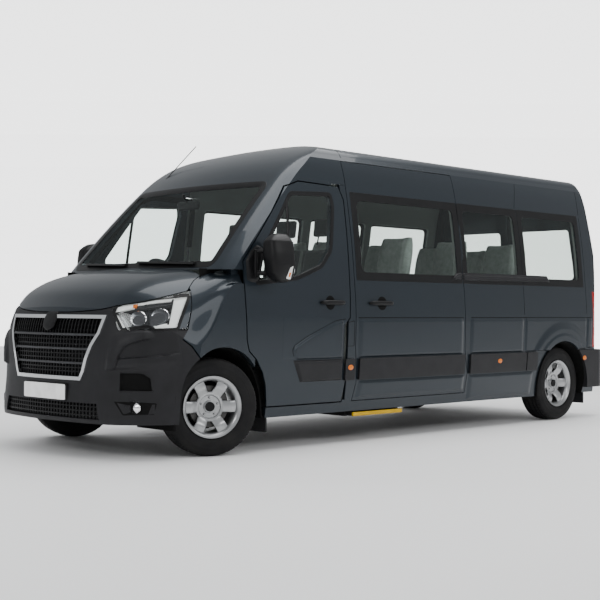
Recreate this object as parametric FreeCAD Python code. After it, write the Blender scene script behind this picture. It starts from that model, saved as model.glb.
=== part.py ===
import FreeCAD, Part
import math
import os

# A high-roof minibus: wheels, chassis, hollow body, doors, glass, seats and trim.
# Millimetres, +X towards the rear, +Y towards the vehicle's right, +Z up.
# Lengths along the vehicle are given as distances behind the front axle and
# turned into X by behind(). The origin is on the ground, midway between the ends.

Vector = FreeCAD.Vector
UP = Vector(0, 0, 1)
ACROSS = Vector(0, 1, 0)
SIDES = ((-1, "left"), (1, "right"))
FAR = 1400.0
NEAR = 300.0
AHEAD = -1000.0
CRUMB = 2e4

# Overall layout
WHEELBASE = 4332.0
FRONT_OVERHANG = 825.0
REAR_OVERHANG = 743.0
FRONT_AXLE_X = (FRONT_OVERHANG - WHEELBASE - REAR_OVERHANG) / 2.0
REAR_AXLE_X = FRONT_AXLE_X + WHEELBASE
FRONT_TRACK = 1750.0
REAR_TRACK = 1730.0

# Tyres
TYRE_RADIUS = 350.0
TYRE_WIDTH = 222.0
TYRE_BULGE = 3.0
TYRE_BELLY_RADIUS = 275.0
TYRE_SHOULDER = 34.0
TYRE_SHOULDER_INSET = 6.0
TREAD_EDGE_INSET = 26.0
TREAD_HALF = 60.0
TREAD_DEPTH = 30.0
BEAD_INSET = 17.0
BEAD_WIDTH = 15.0
BEAD_GAP = 0.3
HUB_Z = TYRE_RADIUS

# Rims and hubs
RIM_SEAT_RADIUS = 204.0
RIM_FLANGE_RADIUS = 220.0
RIM_WALL = 9.0
RIM_HALF = 104.0
DISC_FACE = 74.0
DISC_THICKNESS = 14.0
DISC_DISH = 22.0
DISC_CREST_RADIUS = 140.0
HUB_BOSS_RADIUS = 78.0
SPOKES = 6
SPOKE_HALF = 41.0
HOLE_RADII = [104.0, 150.0, 186.0]
HOLE_CORNER = 9.0
HUB_BORE_RADIUS = 34.0
SPINDLE_CLEARANCE = 0.05
SPINDLE_RADIUS = HUB_BORE_RADIUS - SPINDLE_CLEARANCE
SPINDLE_REACH = 60.0

# Front suspension
STEER_AT_REST = 20.0
KINGPIN_INBOARD = 75.0
KINGPIN_Y = FRONT_TRACK / 2.0 - KINGPIN_INBOARD
KINGPIN_HALF = 26.0
ARM_GAP = 0.4
ARM_LOW = (185.0, 215.0)
ARM_HIGH = (485.0, 510.0)
ARM_TIP_HALF = 34.0
ARM_ROOT_HALF = 180.0
ARM_LOW_ROOT = 430.0
ARM_HIGH_ROOT = 540.0
CRADLE_HALF_X = 190.0
CRADLE_HALF_Y = 470.0
TOWER_LOW_Y = 462.0
TOWER_HIGH_Y = 548.5
TOWER_HALF = 28.0

# Wheel arches and boxes
FRONT_ARCH = [
    (-375.0, 200.0), (-360.0, 430.0), (-320.0, 580.0), (-225.0, 697.0), (-120.0, 757.0), (0.0, 775.0),
    (130.0, 752.0), (247.0, 686.0), (334.0, 574.0), (384.0, 455.0), (402.0, 344.0), (408.0, 200.0),
]
REAR_ARCH_RADIUS = 400.0
WELL_INNER_Y = 520.0
WELL_TOP_Z = 800.0
REAR_WELL_Y = 640.0
HOOD_ROOM = 20.0
HOOD_WALL = 10.0
HOOD_FOOT_Z = 480.0

# Body shell
SHELL = 45.0
SHELL_GAP = 0.5
SEAM = 6.0
SILL_Z = 245.0
SILL_FRONT = 440.0
BODY_END = 4955.0
REAR_LEAN = [(1500.0, 0.0), (2260.0, 75.0), (2500.0, 170.0)]
REAR_CORNER = 90.0
DITCH_Z = 2262.0
ROOF_CROWN_Z = 2408.0
ROOF_SEAM_X = 1380.0
POST_FRONT_X = 1290.0
HEADER_Z = 2034.0
SECTION_SIDE = [
    (975.0, SILL_Z), (1006.0, 480.0), (1026.0, 800.0), (1031.0, 1000.0), (1014.0, 1280.0),
    (984.0, 1600.0), (930.0, 1970.0), (893.0, 2150.0), (862.0, 2238.0),
]
SECTION_ROOF = [
    (838.0, 2276.0), (800.0, 2322.0), (700.0, 2352.0), (450.0, 2390.0), (0.0, ROOF_CROWN_Z),
]

# Front doors, as distance behind the front axle and height
FRONT_DOOR = [
    (446.0, 330.0), (421.0, 490.0), (383.0, 587.0), (316.0, 684.0), (243.0, 746.0),
    (219.0, 824.0), (200.0, 1113.0), (192.0, 1390.0), (690.0, 1976.0), (830.0, 2024.0),
    (1270.0, 2014.0), (1313.0, 1915.0), (1310.0, 1202.0), (1302.0, 985.0), (1242.0, 925.0),
    (1242.0, 640.0), (1274.0, 590.0), (1274.0, 480.0), (1248.0, 330.0),
]
FRONT_GLASS = [
    (300.0, 1225.0), (385.0, 1480.0), (722.0, 1940.0), (1176.0, 1962.0),
    (1198.0, 1867.0), (1130.0, 1500.0), (1010.0, 1368.0), (739.0, 1272.0),
]
FRONT_GLASS_CORNER = 30.0
FRONT_GLASS_BORDER = 22.0
DOOR_SEAM = 10.0
DOOR_SKIN = 12.0
DOOR_FLANGE = 24.0

# Sliding door with the arm that runs in the track under the floor
SLIDING_DOOR = [
    (1375.0, 330.0), (1410.0, 480.0), (1381.0, 760.0), (1376.0, 1200.0), (1360.0, 2232.0),
    (2768.0, 2232.0), (2782.0, 1200.0), (2795.0, 700.0), (2845.0, 500.0), (2826.0, 330.0),
]
ROLLER_X = (1450.0, 1520.0)
ROLLER_Y = (-975.0, -850.0)
ROLLER_FOOT_Z = 480.0

# Glass
GLASS_BOTTOM_Z = 1298.0
GLASS_TOP_Z = 1968.0
GLASS_CORNER = 55.0
GLASS_THICKNESS = 5.0
GLASS_BORDER = 32.0
HOLE_TIGHTER = 15.0
PANE_EDGES = [(1418.0, 2752.0), (2796.0, 3664.0), (3690.0, 4690.0)]
REBATE = 0.4

# Nose and windscreen, as distance behind the front axle and height
NOSE_PROFILE = [
    (-785.0, 0.0), (-800.0, 150.0), (-815.0, 250.0), (-822.0, 420.0), (-806.0, 620.0), (-796.0, 850.0),
    (-745.0, 1020.0), (-700.0, 1200.0), (-640.0, 1500.0), (-400.0, 2500.0),
]
BONNET_PROFILE = [
    (-1100.0, 760.0), (-900.0, 930.0), (-745.0, 1045.0), (-680.0, 1125.0), (-590.0, 1200.0),
    (-440.0, 1272.0), (-250.0, 1324.0), (0.0, 1364.0), (400.0, 1410.0),
]
SCREEN_PROFILE = [
    (-600.0, 0.0), (-560.0, 150.0), (-400.0, 700.0), (-240.0, 1100.0), (-85.0, 1330.0), (90.0, 1530.0),
    (280.0, 1735.0), (440.0, 1900.0), (565.0, 2022.0), (700.0, 2142.0), (860.0, 2240.0),
    (1060.0, 2322.0), (1320.0, 2390.0), (1650.0, 2470.0), (2100.0, 2580.0),
]
NOSE_BOW = 170.0
NOSE_CORNER = 290.0
NOSE_SHELL = 38.0
NOSE_HALF = 1055.0
NOSE_STATIONS = 25
BONNET_CROWN = 36.0
BONNET_SHOULDER = 800.0
BONNET_FLAT_X = 120.0
BONNET_FADE = 420.0
SCREEN_BOW = 120.0
SCREEN_CORNER = 50.0
SCREEN_CORNER_FROM = 0.85
SCREEN_SLANT = 1.3
SCREEN_REACH = 1.04
SCREEN_STATIONS = 25
SCREEN_BOTTOM_Z = 1352.0
SCREEN_TOP_Z = 2022.0
SCREEN_HALF_BASE = 868.0
SCREEN_HALF_TOP = 792.0
SCREEN_ROUNDING = 70.0

# Bonnet, wings, bumper and lamps: side, plan and front outlines
BONNET_PLAN = [(-1000.0, 900.0), (-215.0, 868.0), (-130.0, 830.0), (10.0, 800.0), (300.0, 790.0)]
BONNET_SIDE = [
    (-1000.0, 1008.0), (-740.0, 1022.0), (-640.0, 1070.0), (-200.0, 1180.0), (0.0, 1190.0),
    (300.0, 1190.0), (300.0, 1700.0), (-1000.0, 1700.0),
]
BONNET_SEAM_SHARE = 1.007
WING_SIDE = [
    (-293.0, 903.0), (-342.0, 838.0), (-277.0, 788.0), (-211.0, 697.0), (0.0, 500.0), (430.0, 260.0),
    (480.0, 260.0), (480.0, 1500.0), (-194.0, 1500.0), (-194.0, 1184.0),
]
WING_INNER_Y = 560.0
WING_SEAT_X = (-140.0, -90.0)
WING_SEAT_Y = (760.0, 875.0)
WING_TIE_Y = 836.0
WING_TIE_DEPTH = 20.0
WING_SEAT_Z = (1120.0, 1400.0)
LAMP_FRONT = [(-600.0, 1400.0), (-604.0, 1040.0), (-690.0, 897.0), (-1100.0, 897.0), (-1100.0, 1400.0)]
LAMP_SIDE = [
    (-1000.0, 1000.0), (-740.0, 1016.0), (-640.0, 1064.0), (-202.0, 1174.0), (-302.0, 905.0),
    (-1000.0, 890.0),
]
LAMP_GAP = 0.8
LAMP_DEPTH = 110.0
BUMPER_SIDE = [
    (-1000.0, 180.0), (-1000.0, 1002.0), (-740.0, 1014.0), (-640.0, 1062.0), (-560.0, 897.0),
    (-298.5, 897.0), (-347.3, 832.0), (-285.0, 782.0), (-225.0, 697.0), (-225.0, 400.0), (-400.0, 180.0),
]
POCKET = [(722.0, 478.0), (722.0, 606.0), (835.0, 606.0), (872.0, 575.0), (885.0, 478.0)]
POCKET_DEPTH = 24.0
FOG_LAMP_Y = 809.0
FOG_LAMP_Z = 372.0
FOG_LAMP_RADIUS = 42.0
FOG_LAMP_DEPTH = 26.0

# Grille, its bright surround and the lower grille, seen from the front
GRILLE_FRONT = [
    (-585.0, 1001.0), (585.0, 1001.0), (560.0, 870.0), (505.0, 780.0), (462.0, 690.0), (432.0, 600.0),
    (400.0, 540.0), (-400.0, 540.0), (-432.0, 600.0), (-462.0, 690.0), (-505.0, 780.0), (-560.0, 870.0),
]
LOWER_GRILLE = [(-590.0, 275.0), (-560.0, 385.0), (560.0, 385.0), (590.0, 275.0)]
GRILLE_BACK = (28.0, 50.0)
GRILLE_BAR = (6.0, 30.0)
GRILLE_BARS = [660.0, 760.0, 860.0]
GRILLE_BAR_HALF = 9.0
GRILLE_SLAT = (16.0, 30.0)
GRILLE_SLATS = [600.0, 627.0, 693.0, 726.0, 793.0, 826.0, 893.0, 926.0]
GRILLE_SLAT_HALF = 4.0
LOWER_SLATS = [300.0, 330.0, 360.0]
GRILLE_GAP = 0.3
CHROME_PROUD = 12.0
CHROME_DEPTH = 10.0
CHROME_WIDTH = 26.0

# Cab frame
FIREWALL_X = 60.0
FIREWALL_THICKNESS = 15.0
BEAM_DEPTH = 110.0
BEAM_Z = (1140.0, 1220.0)
POST_X = (120.0, 185.0)
POST_Z = (1000.0, 1420.0)
POST_WIDTH = 90.0
POST_GAP = 0.8
CAB_HALF = 955.0
PILLAR_FOOT_Z = 1332.0
CAP_FOOT_X = 1200.0
CAP_FOOT_Z = 2037.0

# Floor, rails and tow-bar beam
FLOOR_TOP = 600.0
FLOOR_DEPTH = 90.0
FLOOR_UNDER = FLOOR_TOP - FLOOR_DEPTH
FLOOR_HALF = 930.0
RAIL_Y = 480.0
RAIL_HALF = 40.0
RAIL_Z = 400.0
RAIL_FRONT = -560.0
CROSS_MEMBERS = [900.0, 1900.0, 2900.0]
CROSS_WIDTH = 70.0
CROSS_RISE = 5.0
TOW_BEAM_X = 4806.0
TOW_BEAM_WIDTH = 96.0
TOW_SPACING_X = 50.0
TOW_SPACING_Y = 600.0
TOW_HOLE_RADIUS = 6.5
TOW_HOLE_DEPTH = 60.0
HUNG_GAP = 0.3

# Rear doors, hinges, lamps and bumper
REAR_DOOR_EDGE = [(912.0, 680.0), (912.0, 1100.0), (895.0, 1500.0), (840.0, 1950.0), (790.0, 2190.0)]
REAR_DOOR_DEPTH = 320.0
REAR_DOOR_GAP = 4.0
REAR_WINDOW = [(70.0, 1330.0), (815.0, 1330.0), (760.0, 1900.0), (70.0, 1900.0)]
REAR_WINDOW_CORNER = 50.0
REAR_HINGES = [770.0, 1420.0]
REAR_HINGE_X = 4971.0
REAR_HINGE_Y = 908.0
HINGE_HEIGHT = 40.0
HINGE_GAP = 0.3
HINGE_RADIUS = 10.0
HINGE_LEAF = 52.0
HINGE_LEAF_PROUD = 4.0
HINGE_FOOT = 30.0
HINGE_FOOT_DEPTH = 14.0
TAIL_LAMP = [(4868.0, 690.0), (4862.0, 1240.0), (5050.0, 1240.0), (5050.0, 690.0)]
TAIL_LAMP_INNER_Y = 965.0
TAIL_LAMP_DEPTH = 40.0
BUMPER_FRONT_X = 4470.0
BUMPER_CUT_X = 4600.0
BUMPER_ARCH_ROOM = 8.0
BUMPER_HALF = 1046.0
BUMPER_Z = (300.0, 668.0)
BUMPER_CORNER = 130.0

# Trim outside the body
STRIP_PROUD = 20.0
STRIP_GAP = 0.3
STRIP_Z = (492.0, 662.0)
STRIP_CORNER = 12.0
BODY_STRIPS = [(1256.0, 1366.0), (1420.0, 2786.0), (2868.0, 3716.0), (3730.0, 3900.0)]
DOOR_STRIP = [(680.0, 512.0), (700.0, 662.0), (1238.0, 662.0), (1238.0, 492.0), (760.0, 492.0)]
DOOR_STRIP_CORNER = 20.0
FLAP_X = (SILL_FRONT + 1.0, 425.0)
FLAP_Y = (765.0, 985.0)
FLAP_THICKNESS = 12.0
FLAP_FOOT_Z = 140.0
HANDLE_X = (985.0, 1235.0)
HANDLE_Y = (1000.0, 1078.0)
HANDLE_Z = (1082.0, 1118.0)
MIRROR_PLAN = [
    (235.0, -1235.0), (300.0, -1250.0), (470.0, -1235.0), (490.0, -1130.0), (470.0, -1075.0),
    (260.0, -1075.0),
]
MIRROR_FRONT = [
    (-1075.0, 1262.0), (-1075.0, 1560.0), (-1110.0, 1585.0), (-1205.0, 1585.0), (-1240.0, 1470.0),
    (-1250.0, 1350.0), (-1215.0, 1258.0),
]
MIRROR_CORNER = 40.0
MIRROR_ARM_X = (270.0, 350.0)
MIRROR_ARM_Y = (-1100.0, -980.0)
MIRROR_ARM_Z = (1290.0, 1440.0)
MIRROR_ARM_HEIGHT = 34.0
MIRROR_PLATE = [(206.0, 1262.0), (206.0, 1392.0), (330.0, 1520.0), (400.0, 1500.0), (330.0, 1232.0)]
WIPER_Y = (-690.0, 60.0)
WIPER_LENGTH = 620.0
WIPER_Z = (1372.0, 1392.0)
WIPER_THICKNESS = 16.0
WIPER_LAYER = (22.0, 1.0)
AERIAL_FOOT = (735.0, 600.0, 2118.0)
AERIAL_TIP = (1090.0, 600.0, 2455.0)
AERIAL_RADIUS = 4.0

# Power unit, tank, exhaust and spare wheel
ENGINE_X = (-600.0, -210.0)
ENGINE_HALF = 380.0
ENGINE_Z = (340.0, 930.0)
ENGINE_ARM_X = (-500.0, -220.0)
ENGINE_ARM_Z = (430.0, 500.0)
TANK_X = (800.0, 1700.0)
TANK_Y = (RAIL_Y + RAIL_HALF + 5.0, 880.0)
TANK_Z = (270.0, FLOOR_UNDER - SHELL_GAP)
TANK_CORNER = 60.0
PIPE_X = (300.0, 3130.0)
PIPE_Y = -60.0
PIPE_Z = 362.0
PIPE_RADIUS = 32.0
SILENCER_X = (2000.0, 2700.0)
SILENCER_Y = (-190.0, 70.0)
SILENCER_Z = (300.0, 440.0)
SILENCER_CORNER = 50.0
HANGER_X = [620.0, 3100.0]
HANGER_THICKNESS = 12.0
HANGER_HALF = 10.0
SPARE_X = 3550.0
SPARE_RADIUS = 345.0
SPARE_WIDTH = 205.0
SPARE_Z = 292.0

# Rear axle and leaf springs
AXLE_RADIUS = 42.0
AXLE_HALF = 790.0
AXLE_LAP = 10.0
SPRING_X = (-620.0, 500.0)
SPRING_HALF = 35.0
SPRING_DROP = (72.0, 40.0)
SPRING_EYE = 40.0
SPRING_EYE_DROP = 60.0

# Sliding step below the sliding door
STEP_X = (1392.0, 1984.0)
STEP_Y = -985.0
STEP_DEPTH = 330.0
STEP_Z = (205.0, 232.0)
GUIDE_WIDTH = 30.0
GUIDE_GAP = 0.3
GUIDE_Y = (-923.0, -565.0)
GUIDE_DROP = 3.0
GUIDE_TOP = 18.0
GUIDE_PLATE = 8.0
GUIDE_POST = 40.0

# Dashboard and steering wheel
DASH = [
    (80.0, 1020.0), (80.0, 1290.0), (300.0, 1300.0), (500.0, 1230.0), (560.0, 1100.0),
    (480.0, 900.0), (200.0, 880.0),
]
DASH_HALF = 864.0
DASH_CORNER = 40.0
DASH_SIDE_Y = 770.0
DASH_SIDE_Z = 1245.0
COLUMN_TOP = (540.0, 400.0, 1235.0)
WHEEL_CENTRE = (620.0, 400.0, 1310.0)
COLUMN_LENGTH = 220.0
COLUMN_RADIUS = 26.0
SHAFT_LENGTH = 95.0
SHAFT_RADIUS = 16.0
STEERING_RADIUS = 185.0
STEERING_GRIP = 15.0
STEERING_BOSS = 60.0
STEERING_SPOKE = (170.0, 34.0, 14.0)

# Seats
SEAT_GAP = 0.3
CAB_SEAT_X = 760.0
CAB_SEATS_Y = [(110.0, 610.0), (-900.0, -20.0)]
CAB_SEAT_HEIGHTS = (1010.0, 1800.0)
ROW_X = [1720.0, 2480.0, 3240.0]
ROW_SEATS_Y = [(-60.0, 860.0), (-880.0, -440.0)]
LAST_ROW_X = 4000.0
LAST_ROW_Y = (-470.0, 470.0)
ROW_HEIGHTS = (1020.0, 1760.0)
SEAT_PITCH = 460.0
CUSHION_LENGTH = 470.0
CUSHION_DEPTH = 120.0
CUSHION_DIP = 20.0
BACK_START = 400.0
BACK_THICKNESS = 100.0
BACK_RAKE = 140.0
BACK_TOP = 190.0
SEAT_ROUNDING = 30.0
BASE_INSET = 60.0
REST_HALF = 120.0
REST_ROUNDING = 25.0
STEM_HALF = 30.0


def behind(distance):
    """X of a point that lies this far behind the front axle."""
    return FRONT_AXLE_X + distance


def save(name, shape):
    """Write one node as a STEP file."""
    if isinstance(shape, (list, tuple)):
        shape = Part.makeCompound(list(shape))
    shape.exportStep("parts/" + name + ".step")
    print(name, len(shape.Solids), round(shape.Volume / 1e9, 5), shape.isValid())


def largest(shape):
    """The biggest solid of a shape, with cutting crumbs dropped."""
    return max(shape.Solids, key=lambda solid: solid.Volume)


def keep_solids(shape):
    """All solids of a shape that are more than crumbs."""
    return [solid for solid in shape.Solids if solid.Volume > CRUMB]


def box(x0, x1, y0, y1, z0, z1):
    """A block from its limits."""
    return Part.makeBox(x1 - x0, y1 - y0, z1 - z0, Vector(x0, y0, z0))


def block(x, y, z):
    """A block from limits behind the front axle, across and up."""
    return box(behind(x[0]), behind(x[1]), y[0], y[1], z[0], z[1])


def rod(start, end, radius):
    """A round bar between two points."""
    return Part.makeCylinder(radius, start.distanceToPoint(end), start, end.sub(start))


def mirrored(shape):
    """The same shape on the vehicle's other side."""
    return shape.mirror(Vector(0, 0, 0), ACROSS)


def on_side(shape, side):
    """A shape drawn on the left, mirrored for the right."""
    return shape if side < 0 else mirrored(shape)


def across(side):
    """Y limits of everything on one side of the vehicle, clear of its middle."""
    return (-FAR, -NEAR) if side < 0 else (NEAR, FAR)


def polygon_edges(points, radius):
    """Line edges of a closed polygon with every corner rounded by an arc of one radius."""
    count = len(points)
    starts = []
    ends = []
    for i in range(count):
        here = points[i]
        before = points[i - 1].sub(here)
        after = points[(i + 1) % count].sub(here)
        turn = math.pi - before.getAngle(after)
        reach = radius * math.tan(turn / 2.0)
        reach = min(reach, 0.45 * before.Length, 0.45 * after.Length)
        if turn < 0.03 or reach < 0.5:
            starts.append(here)
            ends.append(here)
            continue
        starts.append(here.add(Vector(before).normalize().multiply(reach)))
        ends.append(here.add(Vector(after).normalize().multiply(reach)))
    edges = []
    for i in range(count):
        here = points[i]
        if starts[i].distanceToPoint(ends[i]) > 0.01:
            chord = starts[i].add(ends[i]).multiply(0.5)
            half = starts[i].distanceToPoint(ends[i]) / 2.0
            bend = math.atan2(here.distanceToPoint(chord), half)
            middle = chord.add(here.sub(chord).normalize().multiply(half * math.tan(bend / 2.0)))
            edges.append(Part.Arc(starts[i], middle, ends[i]).toShape())
        edges.append(Part.LineSegment(ends[i], starts[(i + 1) % count]).toShape())
    return edges


def rounded_face(points, radius=0.0):
    """A flat face inside a closed polygon with rounded corners."""
    if radius <= 0.0:
        return Part.Face(Part.makePolygon(list(points) + [points[0]]))
    return Part.Face(Part.Wire(polygon_edges(points, radius)))


def side_prism(outline, y0, y1, radius=0.0):
    """Prism across the vehicle from a side-view outline of (behind axle, height) points."""
    points = [Vector(behind(x), y0, z) for x, z in outline]
    return rounded_face(points, radius).extrude(Vector(0, y1 - y0, 0))


def plan_prism(outline, z0, z1, radius=0.0):
    """Vertical prism from a plan outline of (behind axle, y) points."""
    points = [Vector(behind(x), y, z0) for x, y in outline]
    return rounded_face(points, radius).extrude(Vector(0, 0, z1 - z0))


def front_prism(outline, x0, x1, radius=0.0):
    """Prism along the vehicle from a front-view outline of (y, z) points."""
    points = [Vector(behind(x0), y, z) for y, z in outline]
    return rounded_face(points, radius).extrude(Vector(x1 - x0, 0, 0))


def rectangle(x, y):
    """Plan outline of a rectangle from its limits."""
    return [(x[0], y[0]), (x[1], y[0]), (x[1], y[1]), (x[0], y[1])]


def flipped(outline):
    """A front-view outline on the vehicle's other side."""
    return [(-y, z) for y, z in outline]


def inset(outline, distance):
    """A closed polygon moved inwards by one distance, corner by corner."""
    count = len(outline)
    area = sum(
        outline[i - 1][0] * outline[i][1] - outline[i][0] * outline[i - 1][1] for i in range(count)
    )
    sign = 1.0 if area > 0 else -1.0
    moved = []
    for i in range(count):
        x0, z0 = outline[i - 1]
        x1, z1 = outline[i]
        x2, z2 = outline[(i + 1) % count]
        before = math.hypot(x1 - x0, z1 - z0)
        after = math.hypot(x2 - x1, z2 - z1)
        nax, naz = -(z1 - z0) / before * sign, (x1 - x0) / before * sign
        nbx, nbz = -(z2 - z1) / after * sign, (x2 - x1) / after * sign
        mx, mz = nax + nbx, naz + nbz
        scale = distance / max(0.3, (mx * nax + mz * naz))
        moved.append((x1 + mx * scale, z1 + mz * scale))
    return moved


def offset_run(points, offset):
    """Points of an open (y, z) run moved inwards along their normals."""
    moved = []
    last = len(points) - 1
    for i, (y, z) in enumerate(points):
        y0, z0 = points[max(0, i - 1)]
        y1, z1 = points[min(last, i + 1)]
        dy, dz = y1 - y0, z1 - z0
        length = math.hypot(dy, dz)
        moved.append((y - offset * dz / length, z + offset * dy / length))
    return moved


def spline(points):
    """A smooth edge through the points."""
    curve = Part.BSplineCurve()
    curve.interpolate(points)
    return curve.toShape()


def section_solid(offset, x0, x1, bottom=SILL_Z):
    """The body's cross-section, moved inwards by offset, as a prism along the vehicle."""
    side = offset_run(SECTION_SIDE, offset)
    roof = offset_run(SECTION_ROOF[:-1], offset) + [(0.0, ROOF_CROWN_Z - offset)]
    start = behind(x0)
    side[0] = (side[0][0], bottom)
    right = [Vector(start, y, z) for y, z in side]
    left = [Vector(start, -y, z) for y, z in side]
    over = [Vector(start, y, z) for y, z in roof]
    over += [Vector(start, -y, z) for y, z in reversed(roof[:-1])]
    left.reverse()
    edges = [
        spline(right),
        Part.LineSegment(right[-1], over[0]).toShape(),
        spline(over),
        Part.LineSegment(over[-1], left[0]).toShape(),
        spline(left),
        Part.LineSegment(left[-1], right[0]).toShape(),
    ]
    return Part.Face(Part.Wire(edges)).extrude(Vector(x1 - x0, 0, 0))


def side_half_width(z):
    """Half width of the body at a height, read from the section's points."""
    points = SECTION_SIDE + SECTION_ROOF[:-1]
    if z <= points[0][1]:
        return points[0][0]
    for (y0, z0), (y1, z1) in zip(points, points[1:]):
        if z <= z1:
            return y0 + (y1 - y0) * (z - z0) / (z1 - z0)
    return points[-1][0]


def grid_surface(rows):
    """A smooth surface through a grid of points."""
    surface = Part.BSplineSurface()
    surface.interpolate(rows)
    return surface.toShape()


def nose_sweep(y):
    """How far the nose falls back from its middle at a distance y off the centre line."""
    a = abs(y) / 1000.0
    corner = max(0.0, a - 0.5) / 0.48
    return NOSE_BOW * a * a + NOSE_CORNER * corner ** 3


def screen_sweep(share):
    """How far the screen and roof front fall back, by share of the body's half width."""
    a = abs(share)
    corner = max(0.0, a - SCREEN_CORNER_FROM) / (1.0 - SCREEN_CORNER_FROM)
    return SCREEN_BOW * a * a + SCREEN_CORNER * corner * corner


def bonnet_drop(x, y):
    """Fall of the bonnet's surface from its centre line towards the wings."""
    a = abs(y) / 1000.0
    shoulder = max(0.0, a - 0.6)
    ahead = min(1.0, max(0.0, (BONNET_FLAT_X - x) / BONNET_FADE))
    fade = ahead * ahead * (3.0 - 2.0 * ahead)
    return BONNET_CROWN * a * a + fade * BONNET_SHOULDER * shoulder * shoulder


def profile_samples(points, count):
    """Evenly spaced points on a smooth curve through (x, z) points."""
    edge = spline([Vector(x, 0, z) for x, z in points])
    return [(p.x, p.z) for p in edge.discretize(count)]


def spread(half, count):
    """Evenly spaced values from minus half to half."""
    return [-half + 2.0 * half * i / (count - 1) for i in range(count)]


def screen_surface(offset):
    """The screen and roof front as one surface, moved inwards by offset."""
    rows = []
    shares = spread(SCREEN_REACH, SCREEN_STATIONS)
    for x, z in profile_samples(SCREEN_PROFILE, 30):
        half = side_half_width(min(max(z, 900.0), 2180.0))
        rows.append([
            Vector(behind(x + screen_sweep(s) + offset * SCREEN_SLANT), s * half, z) for s in shares
        ])
    return grid_surface(rows)


def nose_surface(offset):
    """The nose's upright front, moved inwards by offset."""
    rows = []
    stations = spread(NOSE_HALF, NOSE_STATIONS)
    for x, z in profile_samples(NOSE_PROFILE, 14):
        rows.append([Vector(behind(x + nose_sweep(y) + offset), y, z) for y in stations])
    return grid_surface(rows)


def bonnet_surface(offset):
    """The bonnet's skin, moved inwards by offset."""
    rows = []
    stations = spread(NOSE_HALF, NOSE_STATIONS)
    for x, z in profile_samples(BONNET_PROFILE, 18):
        rows.append([
            Vector(behind(x + nose_sweep(y)), y, z - bonnet_drop(x + nose_sweep(y), y) - offset)
            for y in stations
        ])
    return grid_surface(rows)


def side_of(solid, surface, point):
    """The piece of a solid, split by a surface, that holds a point."""
    pieces = solid.generalFuse([surface])[0]
    for piece in pieces.Solids:
        if piece.isInside(point, 0.1, True):
            return piece
    raise ValueError("no piece holds the point")


def rear_limit(offset):
    """Everything ahead of the rear face, with its rounded upright corners."""
    end = BODY_END - offset
    lean = [(AHEAD, 0.0), (end, 0.0)] + [(end - back, z) for z, back in REAR_LEAN]
    profile = side_prism(lean + [(AHEAD, REAR_LEAN[-1][0])], -FAR, FAR)
    waist = side_half_width(1000.0) - offset
    plan = plan_prism(rectangle((AHEAD, end), (-waist, waist)), 0.0, 2600.0, REAR_CORNER - offset * 0.5)
    return profile.common(plan)


def body_solid(offset, bottom=SILL_Z):
    """The closed outer form of the cabin, moved inwards by offset, behind the screen."""
    solid = section_solid(offset, -300.0, BODY_END + 100.0, bottom)
    solid = solid.common(rear_limit(offset))
    return side_of(solid, screen_surface(offset), Vector(behind(2500.0), 0.0, 1500.0))


def nose_solid(offset, bottom=SILL_Z):
    """The closed outer form of the nose, moved inwards by offset."""
    solid = section_solid(offset, AHEAD, 300.0, bottom)
    core = Vector(behind(250.0), 0.0, 500.0)
    solid = side_of(solid, nose_surface(offset), core)
    return side_of(solid, bonnet_surface(offset), core)


def nose_block(offset):
    """Everything behind the nose's upright front within a broad block."""
    broad = block((-950.0, -330.0), (-900.0, 900.0), (150.0, 1100.0))
    return side_of(broad, nose_surface(offset), Vector(behind(-340.0), 0.0, 500.0))


def lathe(profile, centre):
    """Solid of revolution about the axle line from (offset along the axle, radius) points."""
    points = [Vector(centre.x, centre.y + a, centre.z + r) for a, r in profile]
    return rounded_face(points).revolve(centre, ACROSS, 360.0)


def arch_prism(outline, y0, y1):
    """Prism across the vehicle under a smooth arch, open at the ground."""
    top = [Vector(behind(x), y0, z) for x, z in outline]
    foot = [Vector(top[-1].x, y0, 50.0), Vector(top[0].x, y0, 50.0)]
    edges = [
        spline(top),
        Part.LineSegment(top[-1], foot[0]).toShape(),
        Part.LineSegment(foot[0], foot[1]).toShape(),
        Part.LineSegment(foot[1], top[0]).toShape(),
    ]
    return Part.Face(Part.Wire(edges)).extrude(Vector(0, y1 - y0, 0))


def rear_arch(radius, side, inner=WELL_INNER_Y):
    """Round room about a rear wheel, open at the ground."""
    y0, y1 = (-FAR, -inner) if side < 0 else (inner, FAR)
    tube = Part.makeCylinder(radius, y1 - y0, Vector(REAR_AXLE_X, y0, HUB_Z), ACROSS)
    return tube.fuse(box(REAR_AXLE_X - radius, REAR_AXLE_X + radius, y0, y1, 0.0, HUB_Z))


def front_arch(side):
    """Room about a front wheel, taller than it is wide ahead of the hub."""
    y0, y1 = (-FAR, -WELL_INNER_Y) if side < 0 else (WELL_INNER_Y, FAR)
    return arch_prism(FRONT_ARCH, y0, y1)


# Shared forms: the body's outer solid at several depths, and the rooms cut from it
BODY = body_solid(0.0)
BODY_SHELL = BODY.cut(body_solid(SHELL, 60.0))
BODY_SKIN = body_solid(DOOR_SKIN)
GLASS_LAYER = BODY.cut(body_solid(GLASS_THICKNESS))
REBATE_LAYER = BODY.cut(body_solid(GLASS_THICKNESS + REBATE))
FLOOR_ROOM = body_solid(SHELL + SHELL_GAP, 100.0)
STRIP_BASE = section_solid(-STRIP_GAP, 0.0, 4900.0)
STRIP_LAYER = section_solid(-STRIP_PROUD, 0.0, 4900.0).cut(STRIP_BASE)
NOSE = nose_solid(0.0)
NOSE_SKIN = NOSE.cut(nose_solid(NOSE_SHELL, 60.0))
FRONT_ARCHES = front_arch(-1).fuse(front_arch(1))
REAR_ARCHES = rear_arch(REAR_ARCH_RADIUS, -1).fuse(rear_arch(REAR_ARCH_RADIUS, 1))
SLIDER_OPENING = side_prism(inset(SLIDING_DOOR, -SEAM), -FAR, -NEAR)
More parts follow.
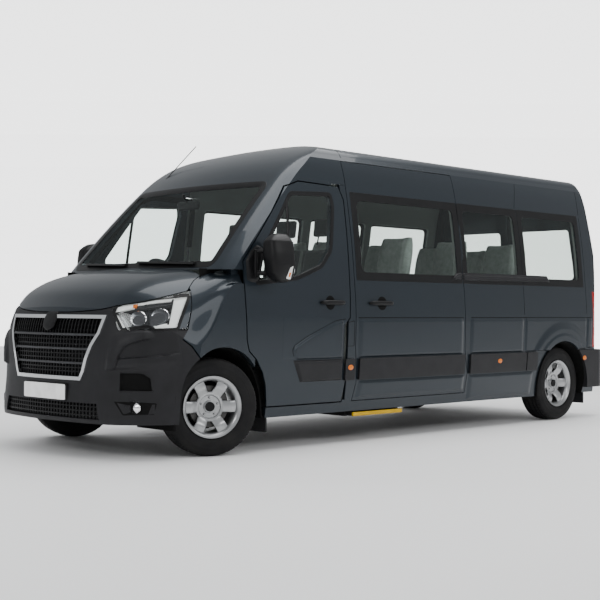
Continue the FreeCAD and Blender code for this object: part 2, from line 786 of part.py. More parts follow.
REAR_OPENING = front_prism(flipped(REAR_DOOR_EDGE) + REAR_DOOR_EDGE[::-1], BODY_END - REAR_DOOR_DEPTH,
                           BODY_END + 100.0)


def door_opening(side):
    """Opening for a front door, one seam larger than the door."""
    return side_prism(inset(FRONT_DOOR, -DOOR_SEAM), *across(side))


def band_outline(edges):
    """Outline of one pane of the side glass band."""
    return [(edges[0], GLASS_BOTTOM_Z), (edges[0], GLASS_TOP_Z), (edges[1], GLASS_TOP_Z),
            (edges[1], GLASS_BOTTOM_Z)]


def glazed(shape, side):
    """A wall with the rebates and openings of its side's panes cut."""
    y0, y1 = across(side)
    seats = []
    holes = []
    for edges in PANE_EDGES:
        outline = band_outline(edges)
        seats.append(side_prism(inset(outline, -REBATE), y0, y1, GLASS_CORNER + REBATE))
        holes.append(side_prism(inset(outline, GLASS_BORDER), y0, y1, GLASS_CORNER - HOLE_TIGHTER))
    rebates = REBATE_LAYER.common(Part.makeCompound(seats))
    return shape.cut(rebates).cut(Part.makeCompound(holes))


def hinge_half(side, z0, outboard):
    """Half of a rear door hinge: barrel, leaf and foot, outboard (1) on the body or inboard (-1)."""
    z1 = z0 + HINGE_HEIGHT
    pin = Vector(behind(REAR_HINGE_X), -REAR_HINGE_Y, z0)
    barrel = Part.makeCylinder(HINGE_RADIUS, HINGE_HEIGHT, pin)
    far = REAR_HINGE_Y + outboard * HINGE_LEAF
    foot = far - outboard * HINGE_FOOT
    leaf = block((REAR_HINGE_X - HINGE_RADIUS, REAR_HINGE_X + HINGE_LEAF_PROUD),
                 sorted((-REAR_HINGE_Y, -far)), (z0, z1))
    pad = block((BODY_END - HINGE_FOOT_DEPTH, REAR_HINGE_X), sorted((-foot, -far)), (z0, z1))
    return on_side(barrel.fuse([leaf, pad]), side)


def make_body_sides():
    """Walls behind the front doors, from sill to roof, with their halves of the rear hinges."""
    band = [
        (SILL_FRONT, SILL_Z - 5.0), (SILL_FRONT, 340.0), (POST_FRONT_X, 340.0),
        (POST_FRONT_X, HEADER_Z), (ROOF_SEAM_X, HEADER_Z), (ROOF_SEAM_X, DITCH_Z),
        (BODY_END + 50.0, DITCH_Z), (BODY_END + 50.0, SILL_Z - 5.0),
    ]
    lamp_room = side_prism(TAIL_LAMP, -FAR, FAR).cut(
        block((4000.0, 5200.0), (-TAIL_LAMP_INNER_Y, TAIL_LAMP_INNER_Y), (0.0, 3000.0)))
    for side, word in SIDES:
        y0, y1 = (-FAR, 0.0) if side < 0 else (0.0, FAR)
        wall = BODY_SHELL.common(side_prism(band, y0, y1)).cut(door_opening(side))
        if side < 0:
            wall = wall.cut(SLIDER_OPENING)
        wall = glazed(wall, side).cut(REAR_ARCHES).cut(REAR_OPENING).cut(lamp_room)
        wall = wall.fuse([hinge_half(side, z, 1) for z in REAR_HINGES])
        save("body_side_" + word, keep_solids(wall))


def make_sliding_door():
    """The sliding door with its roller arm."""
    door = glazed(BODY_SHELL.common(side_prism(SLIDING_DOOR, *across(-1))), -1)
    arm = block(ROLLER_X, ROLLER_Y, (ROLLER_FOOT_Z, FLOOR_UNDER - STRIP_GAP))
    save("sliding_door", largest(door.fuse(arm)))


def make_side_glass():
    """Six flush panes behind the front doors."""
    panes = []
    for side, _ in SIDES:
        for edges in PANE_EDGES:
            prism = side_prism(band_outline(edges), *across(side), GLASS_CORNER)
            panes.append(largest(GLASS_LAYER.common(prism)))
    save("side_glass", panes)


def make_tail_lamps():
    """Tall lamps wrapped round the rear corners."""
    lamps = BODY.cut(body_solid(TAIL_LAMP_DEPTH)).common(
        side_prism(inset(TAIL_LAMP, LAMP_GAP), -FAR, FAR))
    inner = TAIL_LAMP_INNER_Y + LAMP_GAP
    lamps = lamps.cut(block((4000.0, 5200.0), (-inner, inner), (0.0, 3000.0)))
    save("tail_lamps", keep_solids(lamps))


def make_roof():
    """Roof behind the cab, between the two gutters."""
    zone = block((ROOF_SEAM_X + SEAM, BODY_END + 60.0), (-FAR, FAR), (DITCH_Z + STRIP_GAP, 2700.0))
    save("roof_panel", keep_solids(BODY_SHELL.common(zone).cut(REAR_OPENING)))


def make_windscreen():
    """The screen in its rebate; returns the cutters for that rebate and its opening."""
    outline = [
        (-SCREEN_HALF_BASE, SCREEN_BOTTOM_Z), (-SCREEN_HALF_TOP, SCREEN_TOP_Z),
        (SCREEN_HALF_TOP, SCREEN_TOP_Z), (SCREEN_HALF_BASE, SCREEN_BOTTOM_Z),
    ]
    reach = (-400.0, 900.0)
    save("windscreen", largest(GLASS_LAYER.common(front_prism(outline, *reach, SCREEN_ROUNDING))))
    rebate = front_prism(inset(outline, -REBATE), *reach, SCREEN_ROUNDING)
    hole = front_prism(inset(outline, GLASS_BORDER), *reach, SCREEN_ROUNDING - HOLE_TIGHTER)
    return REBATE_LAYER.common(rebate), hole


def screen_posts(gap=0.0):
    """The two posts at the foot of the screen pillars, each grown by a gap."""
    return [
        block((POST_X[0] - gap, POST_X[1] + gap), (y0 - gap, y0 + POST_WIDTH + gap), POST_Z)
        for y0 in (-CAB_HALF, CAB_HALF - POST_WIDTH)
    ]


def make_cab_frame(screen_rebate, screen_hole):
    """Roof cap, screen surround, pillars, cross beam and firewall."""
    zone = block((-400.0, ROOF_SEAM_X), (-FAR, FAR), (PILLAR_FOOT_Z, 2700.0))
    zone = zone.cut(block((CAP_FOOT_X, 1500.0), (-FAR, FAR), (0.0, CAP_FOOT_Z)))
    cab = BODY_SHELL.common(zone).cut(door_opening(-1)).cut(door_opening(1))
    cab = largest(cab.cut(screen_rebate).cut(screen_hole).cut(SLIDER_OPENING))
    beam = block((FIREWALL_X, FIREWALL_X + BEAM_DEPTH), (-CAB_HALF, CAB_HALF), BEAM_Z)
    wall_x = (FIREWALL_X, FIREWALL_X + FIREWALL_THICKNESS)
    high_wall = block(wall_x, (-CAB_HALF, CAB_HALF), (WELL_TOP_Z + 5.0, BEAM_Z[1]))
    half = WELL_INNER_Y - 5.0
    low_wall = block(wall_x, (-half, half), (FLOOR_TOP + SHELL_GAP, WELL_TOP_Z + 10.0))
    save("cab_frame", keep_solids(cab.fuse([beam, high_wall, low_wall] + screen_posts())))


def wheel_hood(side):
    """Domed cover over a rear wheel inside the cabin."""
    outer = REAR_ARCH_RADIUS + HOOD_ROOM + HOOD_WALL
    y0, y1 = (-980.0, -REAR_WELL_Y) if side < 0 else (REAR_WELL_Y, 980.0)
    hood = Part.makeCylinder(outer, y1 - y0, Vector(REAR_AXLE_X, y0, HUB_Z), ACROSS)
    start = y0 + HOOD_WALL if side > 0 else y1 - HOOD_WALL - 2000.0
    room = Part.makeCylinder(outer - HOOD_WALL, 2000.0, Vector(REAR_AXLE_X, start, HUB_Z), ACROSS)
    limits = box(REAR_AXLE_X - 500.0, REAR_AXLE_X + 500.0, -1000.0, 1000.0, HOOD_FOOT_Z, 900.0)
    return hood.cut(room).common(limits).common(FLOOR_ROOM)


def make_floor():
    """Floor with wheel hoods, frame rails, cross members and the drilled tow-bar beam."""
    floor = block((FIREWALL_X + FIREWALL_THICKNESS, BODY_END - SHELL - 3.0), (-FLOOR_HALF, FLOOR_HALF),
                  (FLOOR_UNDER, FLOOR_TOP)).common(FLOOR_ROOM)
    wells = [front_arch(side) for side, _ in SIDES]
    for side, _ in SIDES:
        wells.append(rear_arch(REAR_ARCH_RADIUS + HOOD_ROOM, side, REAR_WELL_Y))
    floor = floor.cut(Part.makeCompound(wells))
    rail_z = (RAIL_Z, FLOOR_UNDER)
    tow_x = (TOW_BEAM_X, TOW_BEAM_X + TOW_BEAM_WIDTH)
    bars = [block((RAIL_FRONT, tow_x[1]), (y - RAIL_HALF, y + RAIL_HALF), rail_z)
            for y in (-RAIL_Y, RAIL_Y)]
    for x in CROSS_MEMBERS:
        bars.append(block((x, x + CROSS_WIDTH), (-RAIL_Y, RAIL_Y), (RAIL_Z + CROSS_RISE, FLOOR_UNDER)))
    bars.append(block(tow_x, (-RAIL_Y, RAIL_Y), rail_z))
    holes = []
    for i in (-0.5, 0.5):
        for j in (-0.5, 0.5):
            mouth = Vector(behind(sum(tow_x) / 2.0 + i * TOW_SPACING_X), j * TOW_SPACING_Y, RAIL_Z)
            holes.append(Part.makeCylinder(TOW_HOLE_RADIUS, TOW_HOLE_DEPTH, mouth))
    floor = floor.fuse(bars + [wheel_hood(side) for side, _ in SIDES])
    save("floor_pan", keep_solids(floor.cut(Part.makeCompound(holes))))


def make_front_doors():
    """Front doors with a lapped edge, and their glass."""
    for side, word in SIDES:
        y0, y1 = across(side)
        whole = side_prism(FRONT_DOOR, y0, y1)
        door = BODY_SHELL.common(whole)
        ring = whole.cut(side_prism(inset(FRONT_DOOR, DOOR_FLANGE), y0, y1))
        door = door.cut(BODY_SKIN.common(ring))
        rebate = side_prism(inset(FRONT_GLASS, -REBATE), y0, y1, FRONT_GLASS_CORNER)
        hole = side_prism(inset(FRONT_GLASS, FRONT_GLASS_BORDER), y0, y1, FRONT_GLASS_CORNER - 5.0)
        door = door.cut(REBATE_LAYER.common(rebate)).cut(hole)
        save("front_door_" + word, largest(door))
        glass = GLASS_LAYER.common(side_prism(FRONT_GLASS, y0, y1, FRONT_GLASS_CORNER))
        save("front_door_glass_" + word, largest(glass))


def bonnet_outline(share=1.0):
    """Plan outline of the bonnet, with its half widths scaled by a share."""
    right = [(x, y * share) for x, y in BONNET_PLAN]
    return [(x, -y) for x, y in right] + right[::-1]


def make_bonnet():
    """The bonnet's skin, ahead of the screen's foot."""
    zone = plan_prism(bonnet_outline(), 900.0, 1700.0).common(side_prism(BONNET_SIDE, -FAR, FAR))
    room = block((AHEAD, 500.0), (-1060.0, 1060.0), (200.0, 1600.0))
    ahead = side_of(room, screen_surface(-2.0 * SEAM), Vector(behind(-900.0), 0.0, 1000.0))
    save("bonnet", largest(NOSE_SKIN.common(zone).common(ahead)))


def make_front_wings():
    """Wings from lamp to door, each with the flange that the bonnet rests on."""
    bonnet_room = plan_prism(bonnet_outline(BONNET_SEAM_SHARE), 900.0, 1700.0).common(
        side_prism(inset(BONNET_SIDE, -SEAM), -FAR, FAR))
    low = block((AHEAD, 500.0), (-1060.0, 1060.0), (100.0, PILLAR_FOOT_Z - SEAM))
    wing = NOSE_SKIN.common(side_prism(WING_SIDE, -FAR, -WING_INNER_Y))
    wing = wing.cut(bonnet_room).cut(FRONT_ARCHES).cut(door_opening(-1)).common(low)
    seat = block(WING_SEAT_X, (-WING_SEAT_Y[1], -WING_SEAT_Y[0]), WING_SEAT_Z).common(
        nose_solid(NOSE_SHELL + STRIP_GAP, 60.0))
    tie = block(WING_SEAT_X, (-WING_SEAT_Y[1], -WING_TIE_Y), WING_SEAT_Z).common(
        nose_solid(WING_TIE_DEPTH, 60.0))
    wing = largest(wing.fuse([seat, tie]).cut(screen_posts(POST_GAP)[0]))
    save("front_wings", [wing, mirrored(wing)])


def make_headlamps():
    """Lamp bodies filling the corners between grille, bonnet and wings."""
    zone = front_prism(LAMP_FRONT, AHEAD, 0.0).fuse(front_prism(flipped(LAMP_FRONT), AHEAD, 0.0))
    lamps = NOSE.cut(nose_solid(LAMP_DEPTH)).common(zone).common(side_prism(LAMP_SIDE, -FAR, FAR))
    save("headlamps", keep_solids(lamps))


def fog_bore(side, radius):
    """Round room along the vehicle for a fog lamp."""
    return Part.makeCylinder(radius, 600.0, Vector(behind(-900.0), side * FOG_LAMP_Y, FOG_LAMP_Z),
                             Vector(1, 0, 0))


def make_front_bumper():
    """Bumper with its grille openings, lamp seats, side pockets and fog lamp bores."""
    bumper = NOSE_SKIN.common(side_prism(BUMPER_SIDE, -FAR, FAR)).cut(FRONT_ARCHES)
    bumper = bumper.cut(front_prism(GRILLE_FRONT, AHEAD, -NEAR))
    bumper = bumper.cut(front_prism(LOWER_GRILLE, AHEAD, -NEAR))
    lamp_side = side_prism(inset(LAMP_SIDE, -LAMP_GAP), -FAR, FAR)
    lamp_room = front_prism(inset(LAMP_FRONT, -LAMP_GAP), AHEAD, 100.0)
    for outline in (lamp_room, mirrored(lamp_room)):
        bumper = bumper.cut(outline.common(lamp_side))
    pockets = front_prism(POCKET, AHEAD, -NEAR)
    pockets = NOSE.cut(nose_solid(POCKET_DEPTH)).common(Part.makeCompound([pockets, mirrored(pockets)]))
    bores = Part.makeCompound([fog_bore(side, FOG_LAMP_RADIUS) for side, _ in SIDES])
    save("front_bumper", keep_solids(bumper.cut(pockets).cut(bores)))
    lenses = NOSE.cut(nose_solid(FOG_LAMP_DEPTH)).common(
        Part.makeCompound([fog_bore(side, FOG_LAMP_RADIUS - STRIP_GAP) for side, _ in SIDES]))
    save("fog_lamps", keep_solids(lenses))


def make_grille():
    """Upper and lower grilles with bars and slats, and the bright surround."""
    back = nose_block(GRILLE_BACK[0]).cut(nose_block(GRILLE_BACK[1]))
    window = front_prism(inset(GRILLE_FRONT, CHROME_WIDTH + GRILLE_GAP), AHEAD, -NEAR)
    bars = [block((AHEAD, -NEAR), (-FAR, FAR), (z - GRILLE_BAR_HALF, z + GRILLE_BAR_HALF))
            for z in GRILLE_BARS]
    slats = [block((AHEAD, -NEAR), (-FAR, FAR), (z - GRILLE_SLAT_HALF, z + GRILLE_SLAT_HALF))
             for z in GRILLE_SLATS]
    low_slats = [block((AHEAD, -NEAR), (-FAR, FAR), (z - GRILLE_SLAT_HALF, z + GRILLE_SLAT_HALF))
                 for z in LOWER_SLATS]
    bar_layer = nose_block(GRILLE_BAR[0]).cut(nose_block(GRILLE_BAR[1]))
    slat_layer = nose_block(GRILLE_SLAT[0]).cut(nose_block(GRILLE_SLAT[1]))
    upper = back.common(front_prism(inset(GRILLE_FRONT, GRILLE_GAP), AHEAD, -NEAR))
    upper = upper.fuse(bar_layer.common(Part.makeCompound(bars)).common(window).Solids
                       + slat_layer.common(Part.makeCompound(slats)).common(window).Solids)
    mouth = front_prism(inset(LOWER_GRILLE, GRILLE_GAP), AHEAD, -NEAR)
    lower = back.common(mouth).fuse(slat_layer.common(Part.makeCompound(low_slats)).common(mouth).Solids)
    save("grille", keep_solids(upper) + keep_solids(lower))
    chrome = nose_block(-CHROME_PROUD).cut(nose_block(CHROME_DEPTH))
    ring = front_prism(inset(GRILLE_FRONT, SHELL_GAP), AHEAD, -NEAR).cut(
        front_prism(inset(GRILLE_FRONT, CHROME_WIDTH), AHEAD, -NEAR))
    save("grille_surround", keep_solids(chrome.common(ring)))


def make_rear_bumper():
    """Bumper round the tail, from one rear arch to the other."""
    tail = WHEELBASE + REAR_OVERHANG
    plan = rectangle((BUMPER_FRONT_X, tail), (-BUMPER_HALF, BUMPER_HALF))
    bumper = plan_prism(plan, *BUMPER_Z, BUMPER_CORNER)
    bumper = bumper.common(block((BUMPER_CUT_X, tail + 100.0), (-FAR, FAR), BUMPER_Z))
    for side, _ in SIDES:
        bumper = bumper.cut(rear_arch(REAR_ARCH_RADIUS + BUMPER_ARCH_ROOM, side))
    save("rear_bumper", largest(bumper.cut(body_solid(-SHELL_GAP, 100.0)).cut(BODY)))


def make_rear_doors():
    """Two rear doors with their halves of the hinges, and their glass."""
    reach = (BODY_END - REAR_DOOR_DEPTH, BODY_END + 100.0)
    for side, word in SIDES:
        edge = [(side * (y - SEAM), z) for y, z in REAR_DOOR_EDGE]
        edge[0] = (edge[0][0], edge[0][1] + SEAM)
        edge[-1] = (edge[-1][0], edge[-1][1] - SEAM)
        shape = edge + [(side * REAR_DOOR_GAP, edge[-1][1]), (side * REAR_DOOR_GAP, edge[0][1])]
        window = [(side * y, z) for y, z in REAR_WINDOW]
        rebate = front_prism(inset(window, -REBATE), *reach, REAR_WINDOW_CORNER)
        hole = front_prism(inset(window, GLASS_BORDER), *reach, REAR_WINDOW_CORNER - HOLE_TIGHTER)
        halves = [hinge_half(side, z + HINGE_HEIGHT + HINGE_GAP, -1) for z in REAR_HINGES]
        leaf = BODY_SHELL.common(front_prism(shape, *reach))
        leaf = leaf.cut(REBATE_LAYER.common(rebate)).cut(hole).fuse(halves)
        save("rear_door_" + word, largest(leaf))
        glass = GLASS_LAYER.common(front_prism(window, *reach, REAR_WINDOW_CORNER))
        save("rear_door_glass_" + word, largest(glass))


def make_body_trim():
    """Rub strips on the body and mudflaps behind the wheels."""
    pieces = []
    for side, _ in SIDES:
        for x0, x1 in BODY_STRIPS:
            outline = [(x0, STRIP_Z[0]), (x0, STRIP_Z[1]), (x1, STRIP_Z[1]), (x1, STRIP_Z[0])]
            pieces.append(largest(STRIP_LAYER.common(side_prism(outline, *across(side), STRIP_CORNER))))
    for axle, x in zip((0.0, WHEELBASE), FLAP_X):
        flap = block((axle + x, axle + x + FLAP_THICKNESS), (-FLAP_Y[1], -FLAP_Y[0]),
                     (FLAP_FOOT_Z, SILL_Z - STRIP_GAP))
        pieces += [flap, mirrored(flap)]
    save("body_trim", pieces)


def make_door_trim():
    """Rub strip, handle and outside mirror of each front door."""
    strip = largest(STRIP_LAYER.common(side_prism(DOOR_STRIP, *across(-1), DOOR_STRIP_CORNER)))
    handle = block(HANDLE_X, (-HANDLE_Y[1], -HANDLE_Y[0]), HANDLE_Z).cut(STRIP_BASE)
    head = plan_prism(MIRROR_PLAN, MIRROR_FRONT[0][1] - 10.0, MIRROR_FRONT[2][1], MIRROR_CORNER)
    head = head.common(front_prism(MIRROR_FRONT, 0.0, 700.0, MIRROR_CORNER))
    arms = [block(MIRROR_ARM_X, MIRROR_ARM_Y, (z, z + MIRROR_ARM_HEIGHT)) for z in MIRROR_ARM_Z]
    plate = STRIP_LAYER.common(side_prism(MIRROR_PLATE, *across(-1), 10.0))
    mirror = head.fuse(arms + [plate]).cut(STRIP_BASE)
    pieces = [strip, handle] + keep_solids(mirror)
    for side, word in SIDES:
        save("front_door_trim_" + word, [on_side(piece, side) for piece in pieces])


def tyre(centre):
    """A hollow tyre: beads, bulged walls, shoulders and tread, turned about the axle."""
    half = TYRE_WIDTH / 2.0
    bead = half - BEAD_INSET
    foot = RIM_SEAT_RADIUS + BEAD_GAP
    outer = [
        (bead, foot), (bead, RIM_FLANGE_RADIUS + 2.0),
        (half - TYRE_SHOULDER_INSET, RIM_FLANGE_RADIUS + 8.0),
        (half + TYRE_BULGE, TYRE_BELLY_RADIUS),
        (half - TYRE_SHOULDER_INSET, TYRE_RADIUS - TYRE_SHOULDER),
        (half - TREAD_EDGE_INSET, TYRE_RADIUS - TYRE_SHOULDER_INSET), (TREAD_HALF, TYRE_RADIUS),
    ]
    inner = [
        (bead - BEAD_WIDTH, foot), (half - BEAD_INSET + 1.0, TYRE_BELLY_RADIUS),
        (half - TREAD_DEPTH, TYRE_RADIUS - TREAD_DEPTH),
    ]
    profile = [(-a, r) for a, r in outer] + outer[::-1] + inner + [(-a, r) for a, r in inner[::-1]]
    return lathe(profile, centre)


def rim(centre, side):
    """Barrel with flanges and a dished six-spoke disc, its outer face towards side."""
    barrel_radius = RIM_SEAT_RADIUS - RIM_WALL
    lip = RIM_HALF - RIM_WALL
    barrel = lathe([
        (-RIM_HALF, RIM_FLANGE_RADIUS), (-RIM_HALF, barrel_radius), (RIM_HALF, barrel_radius),
        (RIM_HALF, RIM_FLANGE_RADIUS), (lip, RIM_FLANGE_RADIUS), (lip, RIM_SEAT_RADIUS),
        (-lip, RIM_SEAT_RADIUS), (-lip, RIM_FLANGE_RADIUS)], centre)
    dish = DISC_FACE - DISC_DISH
    back = DISC_FACE - DISC_THICKNESS
    disc = lathe([(side * a, r) for a, r in (
        (DISC_FACE, barrel_radius + 1.0), (back, barrel_radius + 1.0), (back - 4.0, DISC_CREST_RADIUS),
        (back - DISC_DISH, HUB_BOSS_RADIUS), (back - DISC_DISH, HUB_BORE_RADIUS),
        (dish, HUB_BORE_RADIUS), (dish, HUB_BOSS_RADIUS), (DISC_FACE - 2.0, DISC_CREST_RADIUS))], centre)
    holes = []
    for i in range(SPOKES):
        middle = 2.0 * math.pi * i / SPOKES
        edge = [(r, math.pi / SPOKES - math.asin(SPOKE_HALF / r)) for r in HOLE_RADII]
        outline = []
        for r, half_angle in edge + [(r, -a) for r, a in edge[::-1]]:
            angle = middle + half_angle
            outline.append(Vector(centre.x + r * math.sin(angle), centre.y - 150.0,
                                  centre.z + r * math.cos(angle)))
        holes.append(rounded_face(outline, HOLE_CORNER).extrude(Vector(0, 300.0, 0)))
    return barrel.fuse(disc.cut(Part.makeCompound(holes)))


def steered(shape, pivot):
    """The shape turned about its upright kingpin to the parked steering angle."""
    turned = shape.copy()
    turned.rotate(pivot, UP, -STEER_AT_REST)
    return turned


def make_wheels():
    """Four wheels, with the steered knuckles that carry the front pair."""
    for side, word in SIDES:
        hub = Vector(FRONT_AXLE_X, side * FRONT_TRACK / 2.0, HUB_Z)
        pivot = Vector(FRONT_AXLE_X, side * KINGPIN_Y, HUB_Z)
        save("tyre_front_" + word, steered(tyre(hub), pivot))
        save("rim_front_" + word, steered(rim(hub, side), pivot))
        post = box(pivot.x - KINGPIN_HALF, pivot.x + KINGPIN_HALF, pivot.y - KINGPIN_HALF,
                   pivot.y + KINGPIN_HALF, ARM_LOW[1] + ARM_GAP, ARM_HIGH[0] - ARM_GAP)
        spindle = rod(pivot, Vector(hub.x, hub.y + side * SPINDLE_REACH, HUB_Z), SPINDLE_RADIUS)
        track_arm = box(pivot.x + 20.0, pivot.x + 120.0, pivot.y - 14.0, pivot.y + 14.0,
                        HUB_Z - 95.0, HUB_Z - 70.0)
        save("knuckle_" + word, steered(post.fuse([spindle, track_arm]), pivot))
        hub = Vector(REAR_AXLE_X, side * REAR_TRACK / 2.0, HUB_Z)
        save("tyre_rear_" + word, tyre(hub))
        save("rim_rear_" + word, rim(hub, side))


def make_front_suspension():
    """Plain upper and lower arms on a cradle and towers under the rails."""
    arms = []
    for side, _ in SIDES:
        tip = side * KINGPIN_Y
        for height, root in ((ARM_LOW, ARM_LOW_ROOT), (ARM_HIGH, ARM_HIGH_ROOT)):
            outline = [
                (-ARM_TIP_HALF, tip + side * 24.0), (ARM_TIP_HALF, tip + side * 24.0),
                (ARM_TIP_HALF, tip - side * 60.0), (ARM_ROOT_HALF, side * root),
                (-ARM_ROOT_HALF, side * root), (-ARM_TIP_HALF, tip - side * 60.0),
            ]
            arms.append(plan_prism(outline, *height))
    cradle = block((-CRADLE_HALF_X, CRADLE_HALF_X), (-CRADLE_HALF_Y, CRADLE_HALF_Y),
                   (ARM_LOW[0] - 5.0, ARM_LOW[1] + 20.0))
    towers = [
        block((-ARM_ROOT_HALF, ARM_ROOT_HALF), (y - TOWER_HALF, y + TOWER_HALF), (ARM_LOW[0], top))
        for side, _ in SIDES
        for y, top in ((side * TOWER_LOW_Y, RAIL_Z - HUNG_GAP), (side * TOWER_HIGH_Y, ARM_HIGH[1]))
    ]
    save("front_suspension", cradle.fuse(arms + towers))


def make_rear_axle():
    """Beam axle with spindles, on a leaf spring under each rail."""
    axle = rod(Vector(REAR_AXLE_X, -AXLE_HALF, HUB_Z), Vector(REAR_AXLE_X, AXLE_HALF, HUB_Z), AXLE_RADIUS)
    pieces = []
    for side, _ in SIDES:
        start = Vector(REAR_AXLE_X, side * (AXLE_HALF - AXLE_LAP), HUB_Z)
        end = Vector(REAR_AXLE_X, side * (REAR_TRACK / 2.0 + SPINDLE_REACH), HUB_Z)
        pieces.append(rod(start, end, SPINDLE_RADIUS))
        y = (side * RAIL_Y - SPRING_HALF, side * RAIL_Y + SPRING_HALF)
        x = (WHEELBASE + SPRING_X[0], WHEELBASE + SPRING_X[1])
        pieces.append(block(x, y, (HUB_Z - SPRING_DROP[0], HUB_Z - SPRING_DROP[1])))
        for eye in (x[0], x[1] - SPRING_EYE):
            pieces.append(block((eye, eye + SPRING_EYE), y, (HUB_Z - SPRING_EYE_DROP, RAIL_Z - HUNG_GAP)))
    save("rear_axle", axle.fuse(pieces))


def make_underside():
    """Engine block, fuel tank, exhaust and spare wheel."""
    arm_half = RAIL_Y - RAIL_HALF - HUNG_GAP
    engine = block(ENGINE_X, (-ENGINE_HALF, ENGINE_HALF), ENGINE_Z)
    save("engine", engine.fuse(block(ENGINE_ARM_X, (-arm_half, arm_half), ENGINE_ARM_Z)))
    save("fuel_tank", plan_prism(rectangle(TANK_X, TANK_Y), *TANK_Z, TANK_CORNER))
    pipe = rod(Vector(behind(PIPE_X[0]), PIPE_Y, PIPE_Z), Vector(behind(PIPE_X[1]), PIPE_Y, PIPE_Z),
               PIPE_RADIUS)
    silencer = plan_prism(rectangle(SILENCER_X, SILENCER_Y), *SILENCER_Z, SILENCER_CORNER)
    hangers = [
        block((x, x + HANGER_THICKNESS), (PIPE_Y - HANGER_HALF, PIPE_Y + HANGER_HALF),
              (PIPE_Z, FLOOR_UNDER - HUNG_GAP)) for x in HANGER_X
    ]
    save("exhaust", pipe.fuse([silencer] + hangers))
    spare = Part.makeCylinder(SPARE_RADIUS, SPARE_WIDTH, Vector(behind(SPARE_X), 0.0, SPARE_Z))
    stay = block((SPARE_X - HANGER_HALF, SPARE_X + HANGER_HALF), (-HANGER_HALF, HANGER_HALF),
                 (SPARE_Z + SPARE_WIDTH - 7.0, FLOOR_UNDER - HUNG_GAP))
    save("spare_wheel", spare.fuse(stay))


def make_side_step():
    """Sliding step and the housing that guides it under the sill."""
    save("side_step", block(STEP_X, (STEP_Y, STEP_Y + STEP_DEPTH), STEP_Z))
    starts = (STEP_X[0] - GUIDE_GAP - GUIDE_WIDTH, STEP_X[1] + GUIDE_GAP)
    top = STEP_Z[1] + GUIDE_TOP
    pieces = []
    for x in starts:
        pieces.append(block((x, x + GUIDE_WIDTH), GUIDE_Y, (STEP_Z[0] - GUIDE_DROP, top)))
        pieces.append(block((x, x + GUIDE_WIDTH), (GUIDE_Y[1] - GUIDE_POST, GUIDE_Y[1]),
                            (STEP_Z[1], FLOOR_UNDER - HUNG_GAP)))
    plate = block((starts[0], starts[1] + GUIDE_WIDTH), GUIDE_Y, (top - GUIDE_PLATE, top))
    save("step_housing", plate.fuse(pieces))


def make_dashboard():
    """Dashboard across the cab with the steering column, and the steering wheel."""
    centre = Vector(behind(WHEEL_CENTRE[0]), *WHEEL_CENTRE[1:])
    tilt = centre.sub(Vector(behind(COLUMN_TOP[0]), *COLUMN_TOP[1:])).normalize()

    def down_column(distance):
        """Point on the column's axis below the wheel's centre."""
        return centre.sub(Vector(tilt).multiply(distance))

    beam_x = FIREWALL_X + BEAM_DEPTH + STRIP_GAP
    rooms = [
        block((0.0, beam_x), (-FAR, FAR), (BEAM_Z[0] - STRIP_GAP, BEAM_Z[1] + STRIP_GAP)),
        block((0.0, FIREWALL_X + FIREWALL_THICKNESS + STRIP_GAP), (-FAR, FAR), (600.0, 1500.0)),
    ]
    for y0, y1 in ((-FAR, -DASH_SIDE_Y), (DASH_SIDE_Y, FAR)):
        rooms.append(block((0.0, 700.0), (y0, y1), (DASH_SIDE_Z, 1400.0)))
    dash = side_prism(DASH, -DASH_HALF, DASH_HALF, DASH_CORNER)
    for room in rooms:
        dash = dash.cut(room)
    column = rod(down_column(COLUMN_LENGTH), down_column(SHAFT_LENGTH + STRIP_GAP), COLUMN_RADIUS)
    save("dashboard", largest(dash.fuse(column)))

    length, width, thickness = STEERING_SPOKE
    pieces = [
        Part.makeCylinder(STEERING_BOSS, 40.0, down_column(25.0), tilt),
        rod(down_column(SHAFT_LENGTH), centre, SHAFT_RADIUS),
    ]
    for angle in (90.0, 210.0, 330.0):
        spoke = Part.makeBox(length, width, thickness, Vector(0.0, -width / 2.0, -thickness / 2.0))
        spoke.rotate(Vector(0, 0, 0), UP, angle)
        turned = FreeCAD.Placement(centre, FreeCAD.Rotation(UP, tilt))
        spoke.Placement = turned.multiply(spoke.Placement)
        pieces.append(spoke)
    ring = Part.makeTorus(STEERING_RADIUS, STEERING_GRIP, centre, tilt)
    save("steering_wheel", ring.fuse(pieces))


def seat(x, y, heights):
    """Base, cushion, backrest and headrests of one seat or bench, facing forwards."""
    y0, y1 = y
    cushion_z, top_z = heights
    under = cushion_z - CUSHION_DEPTH
    base = block((x + BASE_INSET, x + BACK_START), (y0 + BASE_INSET, y1 - BASE_INSET),
                 (FLOOR_TOP + SEAT_GAP, under))
    cushion = side_prism([
        (x, under), (x, cushion_z), (x + CUSHION_LENGTH, cushion_z - CUSHION_DIP),
        (x + CUSHION_LENGTH, under)], y0, y1, SEAT_ROUNDING)
    foot = x + BACK_START
    head = foot + BACK_RAKE
    back = side_prism([
        (foot, under + 10.0), (foot + BACK_THICKNESS, under + 10.0),
        (head + BACK_THICKNESS, top_z - BACK_TOP), (head, top_z - BACK_TOP)], y0, y1, SEAT_ROUNDING)
    pieces = [cushion, back]
    places = max(1, round((y1 - y0) / SEAT_PITCH))
    for i in range(places):
        middle = y0 + (y1 - y0) * (i + 0.5) / places
        pieces.append(side_prism([
            (head + 20.0, top_z - 175.0), (head + 100.0, top_z - 175.0), (head + 120.0, top_z),
            (head + 50.0, top_z)], middle - REST_HALF, middle + REST_HALF, REST_ROUNDING))
        pieces.append(side_prism([
            (head + 45.0, top_z - 240.0), (head + 65.0, top_z - 240.0), (head + 80.0, top_z - 100.0),
            (head + 60.0, top_z - 100.0)], middle - STEM_HALF, middle + STEM_HALF))
    return base.fuse(pieces)


